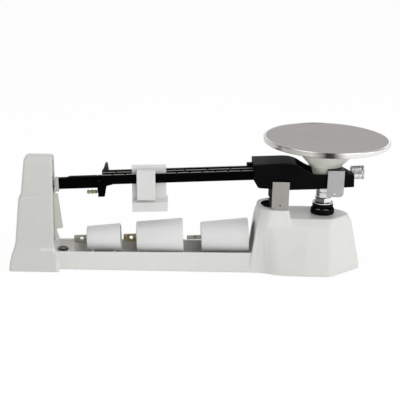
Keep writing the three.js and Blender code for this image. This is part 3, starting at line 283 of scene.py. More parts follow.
# fixed tones along the rim, from left to right, for what it mirrors in the photograph
def rimMetal(name, centre, radius):
    f = Finish(name)
    x = f.axis("X") - centre
    streak = f.noise(1.0, 3.0, 0.6, f.scaled(60.0, 60.0, 1400.0))
    tone = f.node("ShaderNodeValToRGB", {"stops": [
        (0.0, (0.62, 0.61, 0.59)), (0.16, (0.42, 0.41, 0.38)), (0.32, (0.60, 0.59, 0.56)),
        (0.40, (0.24, 0.23, 0.21)), (0.43, (0.02, 0.018, 0.016)), (0.48, (0.04, 0.037, 0.033)),
        (0.58, (0.74, 0.73, 0.71)), (1.0, (0.86, 0.86, 0.85)),
    ]}, {"Fac": f.spread(x, -radius, radius)})
    base = f.blend(f.spread(streak, 0.45, 0.75) * 0.12, tone, (0.72, 0.71, 0.70))
    return f.surface(colour=base, metallic=1.0, roughness=0.16 + (streak - 0.5) * 0.08,
                     normal=f.bump(streak, 0.05, 0.0002))


def turnedMetal(name, colour, centre, roughness=0.3, rings=2200.0):
    f = Finish(name)
    x, y = f.axis("X") - centre[0], f.axis("Y") - centre[1]
    reach = (x * x + y * y) ** 0.5
    circle = f.node("ShaderNodeCombineXYZ", inputs={0: reach * rings, 1: 0.0, 2: 0.0})
    groove = f.noise(1.0, 2.0, 0.6, circle)
    cloudy = f.noise(16.0, 4.0, 0.6)
    scratches = f.noise(1.0, 2.0, 0.5, f.scaled(24.0, 900.0, 900.0))
    base = f.blend(groove, colour, darker(colour, 0.93))
    worn = f.blend(f.spread(cloudy, 0.4, 0.75) * 0.15, base, darker(colour, 0.88))
    rough = roughness + (groove - 0.5) * 0.06 + f.spread(scratches, 0.62, 0.8) * 0.05 + (cloudy - 0.5) * 0.05
    return f.surface(colour=worn, metallic=1.0, roughness=rough, normal=f.bump(groove, 0.03, 0.0001))


def oldBrass(name, colour, dark):
    f = Finish(name)
    cloudy = f.noise(260.0, 4.0, 0.6)
    hair = f.noise(1.0, 3.0, 0.6, f.scaled(260.0, 2400.0, 2400.0))
    base = f.blend(f.spread(cloudy, 0.35, 0.7), colour, dark)
    return f.surface(colour=f.blend(hair * 0.3, base, darker(colour, 0.7)), metallic=0.9,
                     roughness=0.38 + (cloudy - 0.5) * 0.25, normal=f.bump(hair, 0.12, 0.0002))


def softRubber(name, colour, roughness=0.7, dusty=0.04, gloss=0.5):
    f = Finish(name)
    fine = f.noise(1800.0, 3.0, 0.6)
    dust = f.spread(f.noise(140.0, 5.0, 0.7), 0.5, 0.8)
    tint = f.blend(dust * 0.25, colour, tuple(c + dusty for c in colour))
    return f.surface(colour=tint, roughness=roughness + (fine - 0.5) * 0.2, normal=f.bump(fine, 0.25, 0.0003),
                     specular=gloss)


def mouldedPlastic(name, colour, shade, roughness=0.42):
    f = Finish(name)
    cloudy = f.noise(40.0, 3.0, 0.5)
    grain = f.noise(1300.0, 2.0, 0.5)
    base = f.blend(f.spread(cloudy, 0.3, 0.7), colour, shade)
    return f.surface(colour=base, roughness=roughness + (grain - 0.5) * 0.14,
                     normal=f.bump(grain, 0.10, 0.0003))


def knurledMetal(name, colour):
    f = Finish(name)
    cloudy = f.noise(300.0, 3.0, 0.6)
    fine = f.noise(1.0, 2.0, 0.5, f.scaled(2200.0, 500.0, 500.0))
    bands = f.noise(1.0, 2.0, 0.5, f.scaled(330.0, 30.0, 30.0))
    worn = f.blend(f.spread(cloudy, 0.35, 0.7), colour, darker(colour, 0.8))
    base = f.blend(f.spread(bands, 0.42, 0.62) * 0.3, worn, darker(colour, 0.5))
    return f.surface(colour=base, metallic=1.0, roughness=0.36 + (fine - 0.5) * 0.2,
                     normal=f.bump(fine, 0.08, 0.0002))


def bandedStone(name, colour, dark):
    f = Finish(name)
    layer = f.noise(1.0, 4.0, 0.7, f.scaled(120.0, 900.0, 900.0))
    base = f.blend(f.spread(layer, 0.35, 0.65), colour, dark)
    return f.surface(colour=base, roughness=0.18 + (layer - 0.5) * 0.1, coat=0.4, coatRoughness=0.1)


finishes = {
    "enamel": paintedCasting("castingEnamel", (0.615, 0.615, 0.595), (0.582, 0.582, 0.560), 0.8, 0.44),
    # the post's enamel is darker: painted shade
    "postShadedEnamel": paintedCasting("postShadedEnamel", (0.525, 0.525, 0.507), (0.498, 0.498, 0.478), 0.8, 0.44),
    # the trough's enamel is darker: painted shade on the trough shelf
    "troughShade": paintedCasting("troughShade", (0.470, 0.456, 0.425), (0.430, 0.418, 0.390), 0.8, 0.5),
    "weightEnamel": paintedCasting("weightEnamel", (0.635, 0.633, 0.632), (0.610, 0.608, 0.606), 0.7, 0.48),
    "poiseEnamel": paintedCasting("poiseEnamel", (0.625, 0.625, 0.620), (0.590, 0.592, 0.585), 0.8, 0.40),
    "blackEnamel": blackPaint("beamBlack", (0.0006, 0.0006, 0.0008), (0.001, 0.001, 0.001),
                              (0.26, 0.25, 0.24), 0.4),
    "armBlack": blackPaint("armBlack", (0.0006, 0.0006, 0.0008), (0.001, 0.001, 0.001),
                           (0.005, 0.005, 0.005), 0.4),
    "castingBlack": blackPaint("yokeBlack", (0.0022, 0.0020, 0.0026), (0.0032, 0.0029, 0.0032),
                               (0.0180, 0.0168, 0.0158), 0.5, 380.0, 0.03, (0.35, 0.92)),
    "zincSheet": bentSheet("zincSheet", (0.42, 0.41, 0.413)),
    "bracketSheet": bentSheet("bracketSheet", (0.355, 0.345, 0.325)),
    "flangeSteel": facetSteel("flangeSteel", (0.80, 0.81, 0.82), (0.86, 0.87, 0.88), (0.17, 0.165, 0.17)),
    "nutSteel": facetSteel("nutSteel", (0.13, 0.125, 0.13), (0.90, 0.93, 0.92), (0.30, 0.29, 0.30)),
    "steel": brushedSheet("machinedSteel", (0.66, 0.66, 0.67), (300.0, 300.0, 1800.0), 0.16, 0.08),
    "panSteel": turnedMetal("panSteel", (0.300, 0.279, 0.273), (panAxisX * mm, 0.0), 0.40),
    "rimSteel": rimMetal("panRimSteel", panAxisX * mm, 0.075),
    "brightRing": brushedSheet("brightRing", (0.72, 0.72, 0.73), (300.0, 300.0, 300.0), 0.12, 0.05),
    "brass": oldBrass("agedBrass", (0.42, 0.39, 0.27), (0.22, 0.20, 0.13)),
    "plateSmall": oldBrass("paleBrass", (0.37, 0.355, 0.295), (0.20, 0.19, 0.15)),
    "plateMiddle": oldBrass("darkBrass", (0.34, 0.275, 0.15), (0.05, 0.04, 0.02)),
    "plateLarge": oldBrass("greyBrass", (0.27, 0.26, 0.21), (0.12, 0.115, 0.09)),
    "slotShade": softRubber("slotShade", (0.030, 0.029, 0.027), 0.8),
    "recessShade": softRubber("recessShade", (0.055, 0.054, 0.052), 0.6),
    "pocketShade": softRubber("pocketShade", (0.040, 0.040, 0.042), 0.7),
    "rubber": softRubber("blackRubber", (0.0015, 0.0015, 0.0015), 0.62, 0.004, 0.06),
    "paleRubber": softRubber("paleRubber", (0.50, 0.50, 0.48), 0.8),
    "footRubber": softRubber("footRubber", (0.03, 0.03, 0.03), 0.8),
    "moulding": mouldedPlastic("paleMoulding", (0.60, 0.60, 0.54), (0.57, 0.57, 0.515)),
    "whitePlate": mouldedPlastic("whitePlate", (0.485, 0.480, 0.435), (0.455, 0.450, 0.405), 0.5),
    "darkPlastic": mouldedPlastic("darkPlastic", (0.012, 0.010, 0.008), (0.020, 0.017, 0.014), 0.38),
    "knurled": knurledMetal("knurledSteel", (0.62, 0.63, 0.64)),
    "agate": bandedStone("agate", (0.30, 0.16, 0.10), (0.42, 0.28, 0.20)),
    "magnet": softRubber("magnetBlock", (0.05, 0.05, 0.055), 0.5),
    "scaleWhite": mouldedPlastic("scalePaint", (0.72, 0.72, 0.70), (0.68, 0.68, 0.66), 0.5),
}
print("finishes made:", len(finishes))


# mesh helpers
def newPiece(name, mesh, finish, body, replaced=(), sharp=32.0):
    piece = bpy.data.objects.new(name, mesh)
    bpy.context.scene.collection.objects.link(piece)
    mesh.materials.clear()
    mesh.materials.append(finishes[finish])
    mesh.shade_smooth()
    mesh.set_sharp_from_angle(angle=math.radians(sharp))
    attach(piece, body)
    if replaced:
        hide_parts(*replaced)
    return piece


def meshOf(name, points, faces):
    mesh = bpy.data.meshes.new(name)
    mesh.from_pydata([tuple(p) for p in points], [], faces)
    b = bmesh.new()
    b.from_mesh(mesh)
    bmesh.ops.remove_doubles(b, verts=b.verts, dist=1e-6)
    bmesh.ops.recalc_face_normals(b, faces=b.faces)
    b.to_mesh(mesh)
    b.free()
    return mesh


def soften(piece, width, segments=3, angle=28.0):
    bevel = piece.modifiers.new("edge", "BEVEL")
    bevel.width = width * mm
    bevel.segments = segments
    bevel.limit_method = "ANGLE"
    bevel.angle_limit = math.radians(angle)
    bevel.harden_normals = False
    bevel.use_clamp_overlap = True
    bevel.miter_outer = "MITER_ARC"
    smooth = piece.modifiers.new("shading", "WEIGHTED_NORMAL")
    smooth.keep_sharp = True


# fillets the corners of a profile; each point is (radius, height, fillet)
def filleted(points, closed, steps=4):
    made = []
    count = len(points)
    for i, (a, b, fillet) in enumerate(points):
        here = Vector((a, b))
        ends = not closed and i in (0, count - 1)
        if fillet <= 0 or ends:
            made.append(here)
            continue
        before = Vector(points[(i - 1) % count][:2])
        after = Vector(points[(i + 1) % count][:2])
        inward, outward = before - here, after - here
        room = min(inward.length, outward.length) * 0.49
        if inward.length < 1e-9 or outward.length < 1e-9:
            made.append(here)
            continue
        half = inward.angle(outward) / 2
        reach = min(fillet / max(math.tan(half), 1e-6), room)
        start = here + inward.normalized() * reach
        end = here + outward.normalized() * reach
        for s in range(steps + 1):
            t = s / steps
            made.append(start.lerp(here, t).lerp(here.lerp(end, t), t))
    return made


# quads between neighbouring rings of points
def ringFaces(rows, segments, closed=False):
    faces = []
    for i in range(rows if closed else rows - 1):
        j = (i + 1) % rows
        for k in range(segments):
            m = (k + 1) % segments
            faces.append((i * segments + k, i * segments + m, j * segments + m, j * segments + k))
    return faces


# a turned piece; along says which way its axis runs and place puts drawing points in the scene
def turnedMesh(name, profile, centre, along="z", place=atRest, segments=96, closed=False, steps=4):
    line = filleted(profile, closed, steps)
    points = []
    for p in line:
        for k in range(segments):
            angle = whole * k / segments
            a, b = p[0] * math.cos(angle), p[0] * math.sin(angle)
            if along == "z":
                points.append(place(centre[0] + a, centre[1] + b, p[1]))
            elif along == "x":
                points.append(place(p[1], centre[0] + a, centre[1] + b))
            else:
                points.append(place(centre[0] + a, p[1], centre[1] + b))
    return meshOf(name, points, ringFaces(len(line), segments, closed))


# a plain rod, mostly to cut with
def rodMesh(name, radius, low, high, centre, along="z", place=atRest, segments=96):
    profile = [(0, low, 0), (radius, low, 0), (radius, high, 0), (0, high, 0)]
    return turnedMesh(name, profile, centre, along, place, segments)


def turnedPiece(name, profile, finish, body, replaced=(), sharp=32.0, centre=(0.0, 0.0), **turning):
    return newPiece(name, turnedMesh(name, profile, centre, **turning), finish, body, replaced, sharp)


# a slab cut to an outline in two of the drawing's axes
def slabMesh(name, outline, low, high, plane="xz", place=atRest):
    count = len(outline)
    order = {
        "xz": lambda a, b, d: (a, d, b), "yz": lambda a, b, d: (d, a, b), "xy": lambda a, b, d: (a, b, d),
    }[plane]
    points = [place(*order(a, b, low)) for a, b in outline] + [place(*order(a, b, high)) for a, b in outline]
    faces = [tuple(range(count)), tuple(range(2 * count - 1, count - 1, -1))]
    for i in range(count):
        j = (i + 1) % count
        faces.append((i, j, count + j, count + i))
    return meshOf(name, points, faces)


def boxMesh(name, x, y, z, place=atRest):
    return slabMesh(name, [(x[0], z[0]), (x[1], z[0]), (x[1], z[1]), (x[0], z[1])], y[0], y[1], "xz", place)


# a bevelled copy of a CAD node, with its flat faces made whole again
def dressed(node, finish, bevel, segments, flatness=1.5):
    source = frame["nodes"][node]
    mesh = bpy.data.meshes.new(node + "_dressed")
    b = bmesh.new()
    b.from_mesh(source.data)
    bmesh.ops.remove_doubles(b, verts=b.verts, dist=2e-6)
    bmesh.ops.dissolve_limit(b, angle_limit=math.radians(flatness), verts=b.verts, edges=b.edges)
    bmesh.ops.recalc_face_normals(b, faces=b.faces)
    b.to_mesh(mesh)
    b.free()
    piece = newPiece(node + "_dressed", mesh, finish, source["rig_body"], [node])
    soften(piece, bevel, segments)
    return piece


def cutWith(mesh, cutters, operation="DIFFERENCE"):
    holder = bpy.data.objects.new("holder", mesh)
    bpy.context.scene.collection.objects.link(holder)
    tools = []
    for cutter in cutters:
        tool = bpy.data.objects.new("tool", cutter)
        bpy.context.scene.collection.objects.link(tool)
        tools.append(tool)
        step = holder.modifiers.new("cut", "BOOLEAN")
        step.operation = operation
        step.solver = "EXACT"
        step.object = tool
    ready = holder.evaluated_get(bpy.context.evaluated_depsgraph_get())
    made = bpy.data.meshes.new_from_object(ready)
    for thing in [holder] + tools:
        bpy.data.objects.remove(thing)
    return made


# base casting; a ring is its height and its corners, a corner its x, half width and rounding;
# a ring of the post is its height, its left and right ends, half width and rounding
castBase = {
    "voxel": 0.85, "smoothing": 2, "smoothShare": 0.5, "ringSteps": 8, "wall": 3.5, "floorHalf": 23.0,
    "middleX": -20, "above": 90,
    "pedestal": [
        (0.8, [(-88, 26.8, 1), (-71, 27.1, 25), (-57, 34.4, 40), (-20, 37.4, 40), (9.6, 36.6, 14),
               (53, 0, 9)]),
        (10, [(-86.9, 26.6, 1), (-71.5, 26.9, 25), (-58, 33.8, 40), (-20, 36.6, 40), (9.4, 35.8, 14),
              (51.2, 0, 8)]),
        (60, [(-81, 26, 2), (-74, 28.2, 20), (-62, 31, 40), (-20, 31.4, 40), (8, 31, 14), (39, 0, 8)]),
        (69.7, [(-79.8, 20, 3), (-74, 24.6, 8), (-62, 25.2, 12), (-20, 25.4, 40), (9.6, 25, 15),
                (35.9, 0, 14)]),
    ],
    "boss": [
        (54, [(-80.6, 24.8, 6), (-70, 30, 20), (-33, 30.6, 3)]),
        (60, [(-81, 26, 4), (-70, 30.8, 14), (-37, 30.8, 3)]),
        (69.7, [(-79.7, 21, 10), (-68, 28.3, 12), (-41, 28.3, 3)]),
        (77.6, [(-78.7, 17.5, 14), (-66, 26.8, 14), (-42.5, 26.8, 3)]),
        (79.6, [(-77.6, 16.5, 14), (-65.5, 25.6, 14), (-43, 25.6, 3)]),
    ],
    "post": [
        (0.8, -372.7, -313.5, 37, 3), (10, -372.1, -315.5, 33.5, 3), (18.6, -370.5, -317.5, 29.5, 3),
        (26, -367.6, -319.5, 26, 3), (32.4, -366.4, -321, 24, 3), (85.3, -362.7, -322.2, 19, 3),
        (87.3, -360.3, -322.3, 16.6, 3), (125.5, -357, -323, 13.4, 3), (130.6, -356.7, -323.2, 11, 2.5),
        (134.1, -353, -323.6, 7, 2),
    ],
    "hollow": {"left": -74.0, "low": -6.0},
    "rail": {"footY": 27, "topY": 24, "topZ": 25, "endTopZ": 21.8, "wall": 2.5, "left": -336, "right": -72,
             "low": 0.8, "floor": 8, "sunk": 4, "clear": 8, "reach": 40},
    "floor": {"low": 5.5, "high": 8, "shelfX": -291, "shelfZ": 21, "slope": 8, "left": -330, "right": -78},
    "cradle": {"shares": (0.18, 0.82), "half": 1.5, "width": 19.5, "top": 21.0, "gap": 0.5, "endGap": 0.4},
    "footPost": {"radius": 5, "low": 5.8, "high": 69, "x": 4.0, "y": 20.0},
    "recess": {"x": -60.2, "radius": 16.2, "floor": 71.6},
    "deckHole": {"radius": 7, "low": 60},
    "niche": {"radius": 20.0, "left": -96, "right": -80.0, "z": 36.0},
    "slot": {"left": -346, "right": -300, "half": 9, "low": 30, "top": 131.8},
    "screwHole": {"x": -310.5, "y": -13.0, "radius": 2.7, "low": -4, "high": 30},
    "footPocket": {"radius": 6.8, "low": -4, "high": 5.8, "x": -352.0, "y": 22.0},
}
castFinishes = ("enamel", "slotShade", "recessShade", "troughShade", "postShadedEnamel")
castShades = {
    "slot": {"half": 9.6, "left": -346.8, "right": -324.6, "low": 29.5, "high": 109.5, "across": 0.7,
             "end": -330},
    "recess": {"grow": 0.3, "low": 70.5, "below": 0.9},
    "trough": {"up": 0.6, "half": 21.0, "high": 21.6, "right": -86},
    "post": {"right": -316.5, "low": 26.5, "outer": -336.5, "half": 27.2},
}


def ringOf(corners, steps):
    ring = []
    count = len(corners)
    for i, (x, y, radius) in enumerate(corners):
        here = Vector((x, y))
        inward = Vector(corners[i - 1][:2]) - here
        outward = Vector(corners[(i + 1) % count][:2]) - here
        room = min(inward.length, outward.length) / 2
        half = inward.angle(outward) / 2
        reach = min(radius / math.tan(half), room)
        start, end = here + inward.normalized() * reach, here + outward.normalized() * reach
        for s in range(steps + 1):
            t = s / steps
            ring.append(start.lerp(here, t).lerp(here.lerp(end, t), t))
    return ring


def loftMesh(name, rings):
    count = len(rings[0][1])
    points = [atRest(p[0], p[1], z) for z, ring in rings for p in ring]
    last = (len(rings) - 1) * count
    faces = [tuple(range(count - 1, -1, -1)), tuple(range(last, last + count))]
    return meshOf(name, points, faces + ringFaces(len(rings), count))


def mirroredCorners(corners, grow=0.0, leftLimit=-999.0):
    near = []
    middle = castBase["middleX"]
    for x, y, radius in corners:
        shifted = x + grow * ((x > middle) - (x < middle))
        near.append((max(shifted, leftLimit), 0.0 if y == 0 else -(y + grow), max(radius + grow, 0.3)))
    far = [(x, -y, r) for x, y, r in reversed(near) if y != 0]
    return near + far


def postRing(left, right, half, radius):
    return [(left, -half, radius), (right, -half, radius / 2), (right, half, radius / 2), (left, half, radius)]


def makeRails():
    r = castBase["rail"]
    inside, clear, past = r["topY"] - r["wall"], r["topZ"] + r["clear"], r["left"] - r["sunk"]
    rails = []
    for side in (-1, 1):
        outline = [(side * r["footY"], r["low"]), (side * r["topY"], r["topZ"]), (side * inside, r["topZ"]),
                   (side * inside, r["floor"] - r["sunk"]), (side * (r["footY"] - r["wall"]), r["low"])]
        wall = slabMesh("rail", outline, r["left"], r["right"], "yz")
        above = slabMesh("above", [
            (r["left"], r["endTopZ"]), (r["right"], r["topZ"]), (r["right"], clear), (past, clear),
            (past, r["endTopZ"]),
        ], -r["reach"], r["reach"])
        rails.append(cutWith(wall, [above]))
    return rails


# walls across the trough, hollowed to the weights that lie in them
def makeCradles():
    k, low = castBase["cradle"], castBase["floor"]["low"]
    cradles = []
    for w in storedWeights:
        length = w["right"] - w["left"]
        start, end = -k["endGap"], length + k["endGap"]
        notch = [(0, start, 0), (w["small"] + k["gap"], start, 0), (w["large"] + k["gap"], end, 0), (0, end, 0)]
        for share in k["shares"]:
            x = w["left"] + length * share
            block = boxMesh("block", (x - k["half"], x + k["half"]), (-k["width"], k["width"]), (low, k["top"]))
            shape = turnedMesh("notch", notch, (0.0, 0.0), "x", inTrough(w), 64)
            cradles.append(cutWith(block, [shape]))
    return cradles


# the finish of a face of the casting, by its place; the slot, recess, trough and post finishes are painted
# shade
def shadeOf(face):
    x, y, z = face.center.x / mm - panAxisX, abs(face.center.y) / mm, face.center.z / mm
    slot, well, trough, post = (castShades[part] for part in ("slot", "recess", "trough", "post"))
    recess, bossTop = castBase["recess"], castBase["boss"][-1][0]
    onEnd = abs(face.normal.x) > slot["across"] and x > slot["end"]
    if y < slot["half"] and slot["left"] < x < slot["right"] and slot["low"] < z < slot["high"] and not onEnd:
        return "slotShade"
    reach = math.hypot(x - recess["x"], y)
    if reach < recess["radius"] + well["grow"] and well["low"] < z < bossTop - well["below"]:
        return "recessShade"
    # the trough shelf's faces turned up are painted darker, as shade
    if face.normal.z > trough["up"] and y < trough["half"] and z < trough["high"] and x < trough["right"]:
        return "troughShade"
    # the post's faces take the darker enamel, as painted shade
    if x < post["right"] and (z > post["low"] or x < post["outer"] or y > post["half"]):
        return "postShadedEnamel"
    return "enamel"


def makeBase():
    c, steps = castBase, castBase["ringSteps"]
    pedestal = loftMesh("pedestal", [(z, ringOf(mirroredCorners(k), steps)) for z, k in c["pedestal"]])
    boss = loftMesh("boss", [(z, ringOf(mirroredCorners(k), steps)) for z, k in c["boss"]])
    inner = [(z, ringOf(mirroredCorners(k, -c["wall"], c["hollow"]["left"]), steps)) for z, k in c["pedestal"]]
    inner[-1] = (inner[-1][0] - c["wall"], inner[-1][1])
    inner.insert(0, (c["hollow"]["low"], inner[0][1]))
    hollow = loftMesh("hollow", inner)
    post = loftMesh("post", [(z, ringOf(postRing(a, b, h, r), steps)) for z, a, b, h, r in c["post"]])
    g, width = c["floor"], c["floorHalf"]
    floor = slabMesh("floor", [
        (g["left"], g["low"]), (g["right"], g["low"]), (g["right"], g["high"]), (g["shelfX"], g["high"]),
        (g["shelfX"] - g["slope"], g["shelfZ"]), (g["left"], g["shelfZ"]),
    ], -width, width)
    p = c["footPost"]
    footPosts = [rodMesh("footPost", p["radius"], p["low"], p["high"], (p["x"], side * p["y"]), segments=32)
                 for side in (-1, 1)]
    body = cutWith(pedestal, [boss], "UNION")
    body = cutWith(body, [hollow])
    body = cutWith(body, makeRails() + [floor, post] + makeCradles() + footPosts, "UNION")
    q, d, n, s, h, f = (c[part] for part in ("recess", "deckHole", "niche", "slot", "screwHole", "footPocket"))
    body = cutWith(body, [
        rodMesh("recess", q["radius"], q["floor"], c["above"], (q["x"], 0.0)),
        rodMesh("deckHole", d["radius"], d["low"], c["above"], (0.0, 0.0), segments=48),
        rodMesh("niche", n["radius"], n["left"], n["right"], (0.0, n["z"]), "x"),
        boxMesh("slot", (s["left"], s["right"]), (-s["half"], s["half"]), (s["low"], s["top"])),
        rodMesh("screwHole", h["radius"], h["low"], h["high"], (h["x"], h["y"]), segments=32),
    ] + [rodMesh("footPocket", f["radius"], f["low"], f["high"], (f["x"], side * f["y"]), segments=48)
         for side in (-1, 1)])
    base = newPiece("castBase", body, "enamel", "base",
                    ["pedestal", "rail_near", "rail_far", "trough_floor", "index_post"], 180.0)
    remesh = base.modifiers.new("cast", "REMESH")
    remesh.mode = "VOXEL"
    remesh.voxel_size = c["voxel"] * mm * 1.0
    remesh.use_smooth_shade = True
    rounding = base.modifiers.new("round", "SMOOTH")
    rounding.factor = c["smoothShare"]
    rounding.iterations = c["smoothing"]
    ready = base.evaluated_get(bpy.context.evaluated_depsgraph_get())
    base.modifiers.clear()
    final = bpy.data.meshes.new_from_object(ready)
    base.data = final
    final.materials.clear()
    for finish in castFinishes:
        final.materials.append(finishes[finish])
    final.shade_smooth()
    for face in final.polygons:
        face.material_index = castFinishes.index(shadeOf(face))
    return base


storedWeights = [
    {"name": "small", "left": -282.5, "right": -242.0, "small": 14.7, "large": 17.0, "low": 16.6,
     "plate": 16.0, "flat": False},
    {"name": "middle", "left": -223.0, "right": -167.0, "small": 19.0, "large": 21.85, "low": 14.9,
     "plate": 16.0, "flat": False},
    {"name": "large", "left": -145.5, "right": -88.5, "small": 18.2, "large": 21.5, "low": 17.7,
     "plate": 17.0, "flat": True},
]


# a stored weight lies on its side with its lowest line level; along runs from its small end
def inTrough(w):
    lean = math.atan2(w["large"] - w["small"], w["right"] - w["left"])
    c, s = math.cos(lean), math.sin(lean)
    middle = w["low"] + w["small"] * c
    return lambda along, y, z: atRest(w["left"] + along * c - z * s, y, middle + z * c + along * s)


base = makeBase()
print("base casting:", len(base.data.polygons), "faces")


# stored weights
weightShape = {"edge": 1.5, "pocketShare": 0.86, "pocketDepth": 3.0, "pocketRound": 0.8, "mouth": 5.2,
               "mouthDepth": 0.2, "mouthRound": 0.3, "lip": 0.6, "shadeDepth": 3.6, "shadeRim": 0.25}
plateShape = {"thick": 1.8, "endHalf": 4.3, "rootLow": 6.0, "round": 1.5, "rootRound": 0.1, "buried": 4.0,
              "hole": 2.2, "holeIn": 6.7, "through": 3}


def makeWeights():
    s = weightShape
    for w in storedWeights:
        name, node = w["name"] + "WeightBody", w["name"] + "_weight"
        rim, end = w["large"] * s["pocketShare"], w["right"] - w["left"]
        profile = [
            (0, s["mouthDepth"], 0), (s["mouth"], s["mouthDepth"], s["mouthRound"]),
            (s["mouth"] + s["lip"], 0, s["mouthRound"]), (w["small"], 0, s["edge"]),
            (w["large"], end, s["edge"]), (rim + s["lip"], end, s["lip"]),
            (rim, end - s["pocketDepth"], s["pocketRound"]), (0, end - s["pocketDepth"], 0),
        ]
        piece = turnedPiece(name, profile, "weightEnamel", node, [node], along="x", place=inTrough(w))
        piece.data.materials.append(finishes["pocketShade"])
        dark = atRest(w["right"] - s["shadeDepth"], 0, 0).x
        axisZ = (w["low"] + w["large"]) * mm
        for face in piece.data.polygons:
            fromAxis = math.hypot(face.center.y, face.center.z - axisZ)
            if face.center.x > dark and fromAxis < (rim + s["shadeRim"]) * mm:
                face.material_index = 1
        makePlate(w)


# the brass plate by which a weight hangs; the hole is nearer to the weight than to the free end
def makePlate(w):
    p, place = plateShape, inTrough(w)
    tip, sunk, low, half, root = -w["plate"], p["buried"], -p["rootLow"], p["endHalf"], p["rootRound"]
    outline = [tuple(q) for q in ringOf([
        (tip, -half, p["round"]), (0, low, root), (sunk, low, root), (sunk, half, root),
        (tip, half, p["round"]),
    ], 5)]
    plane, way = ("xy", "z") if w["flat"] else ("xz", "y")
    plate = slabMesh("plate", outline, -p["thick"] / 2, p["thick"] / 2, plane, place)
    hole = rodMesh("hole", p["hole"], -p["through"], p["through"], (-p["holeIn"], 0.0), way, place, 40)
    piece = newPiece(w["name"] + "WeightPlate", cutWith(plate, [hole]), "plate" + w["name"].capitalize(),
                     w["name"] + "_weight", [w["name"] + "_weight_plate"])
    soften(piece, 0.25, 2)


makeWeights()
print("weights made")


# pan and its support; rim points are measured in from the edge, and up or down from the rim's own lines
panShape = {"radius": 75.0, "top": 163.5, "rim": 6.6, "sheet": 1.2, "dish": 0.4, "hub": 8.1, "hubLow": 147.9,
            "underEnd": 4.6, "floorEnd": 2.6, "brightFrom": 3.9,
            "rimUnder": [(3.4, 1.2, 0.4), (1.4, 0, 0.5), (0, 0.9, 0.6)],
            "rimOver": [(0, 0.9, 0.7), (0.9, 0, 0.6), (1.6, 0.06, 0.4)]}


def makePan():
    p = panShape
    r, top = p["radius"], p["top"]
    floor, under, low = top - p["dish"], top - p["dish"] - p["sheet"], top - p["rim"]
    disc = [(0, p["hubLow"], 0), (p["hub"], p["hubLow"], 0.6), (p["hub"], under, 0.5),
            (r - p["underEnd"], under, 0.8)]
    disc += [(r - inside, low + rise, fillet) for inside, rise, fillet in p["rimUnder"]]
    disc += [(r - inside, top - drop, fillet) for inside, drop, fillet in p["rimOver"]]
    disc += [(r - p["floorEnd"], floor, 0.6), (0, floor, 0)]
    pan = turnedPiece("weighingPan", disc, "panSteel", "pan", ["pan"], 40.0, segments=192, steps=5)
    pan.data.materials.append(finishes["rimSteel"])
    centre = atRest(0, 0, 0)
    for face in pan.data.polygons:
        out = (Vector(face.center[:2]) - Vector(centre[:2])).length
        if out > (r - p["brightFrom"]) * mm:
            face.material_index = 1


supportShape = {"profile": [
    (0, 119.5, 0), (14.2, 119.5, 0.8), (15.4, 121.6, 1.5), (16.9, 128.9, 0.4), (18.9, 129.5, 0.4),
    (20.4, 130.3, 0.5), (20.9, 132.4, 0.6), (23.6, 134.6, 2), (28, 139.5, 3), (36, 148.6, 4), (41, 156.5, 2),
    (41.4, 159.2, 0.7), (39, 159.4, 0.6), (36.5, 156.6, 1), (30, 149.6, 2), (24, 147.6, 2), (8.8, 147.6, 0.5),
    (8.8, 138.7, 0.4), (0, 138.7, 0),
]}


makePan()
turnedPiece("panSupportMoulding", supportShape["profile"], "moulding", "pan_carrier", ["pan_support"], 40.0,
            segments=128)
print("pan made")


# stem and its lower fork, which is cut off where the tube begins
stemShape = {"profile": [
    (0, 119.0, 0), (9.3, 119.0, 0.4), (9.3, 98.0, 0.2), (9.0, 97.4, 0.2), (9.3, 96.8, 0.2), (9.3, 90.9, 0.6),
    (8.7, 90.3, 0.2), (0, 90.3, 0),
], "forkTop": 88.0, "cutTop": 130, "cutRadius": 20}


def makeStem():
    s = stemShape
    turnedPiece("stemTube", s["profile"], "steel", "pan_carrier")
    fork = dressed("pan_stem", "steel", 0.25, 2)
    above = rodMesh("above", s["cutRadius"], s["forkTop"], s["cutTop"], (0.0, 0.0), segments=24)
    fork.data = cutWith(fork.data, [above])
    fork.data.shade_smooth()
    fork.data.set_sharp_from_angle(angle=math.radians(32))


# closed rings: deck ring, bumper and the bright ring round the recess
ringShapes = {
    "deckRingRubber": {
        "x": 0.0, "segments": 96, "finish": "rubber", "body": "base", "node": "deck_ring",
        "profile": [(12.9, 70.0, 0.1), (13.4, 70.0, 0.3), (14.2, 71.0, 0.5), (14.3, 74.0, 0.8),
                    (13.7, 76.5, 0.5), (13.05, 76.6, 0.15)],
    },
    "bumperRubber": {
        "x": 0.0, "segments": 96, "finish": "rubber", "body": "pan_carrier", "node": "stem_bumper",
        "profile": [(3.3, 78.4, 0.1), (11.6, 78.4, 0.6), (12.5, 79.3, 0.5), (12.5, 82.3, 0.4),
                    (11.9, 82.9, 0.4), (3.3, 82.9, 0.1)],
    },
    "recessRingBright": {
        "x": castBase["recess"]["x"], "segments": 128, "finish": "brightRing", "body": "base",
        "node": "recess_ring",
        "profile": [(14.75, 77.3, 0.1), (16.2, 77.3, 0.1), (16.2, 79.5, 0.3), (15.5, 80.0, 0.3),
                    (14.75, 79.5, 0.3)],
    },
}


def makeRings():
    for name, s in ringShapes.items():
        turnedPiece(name, s["profile"], s["finish"], s["body"], [s["node"]], 50.0, (s["x"], 0.0),
                    segments=s["segments"], closed=True)


# a hexagon nut on a thin flange
nutShape = {"sides": 6, "corner": 10.4, "low": 84.2, "high": 90.0, "flange": 12.4, "flangeLow": 83.0,
            "flangeHigh": 84.25, "bore": 3.3}


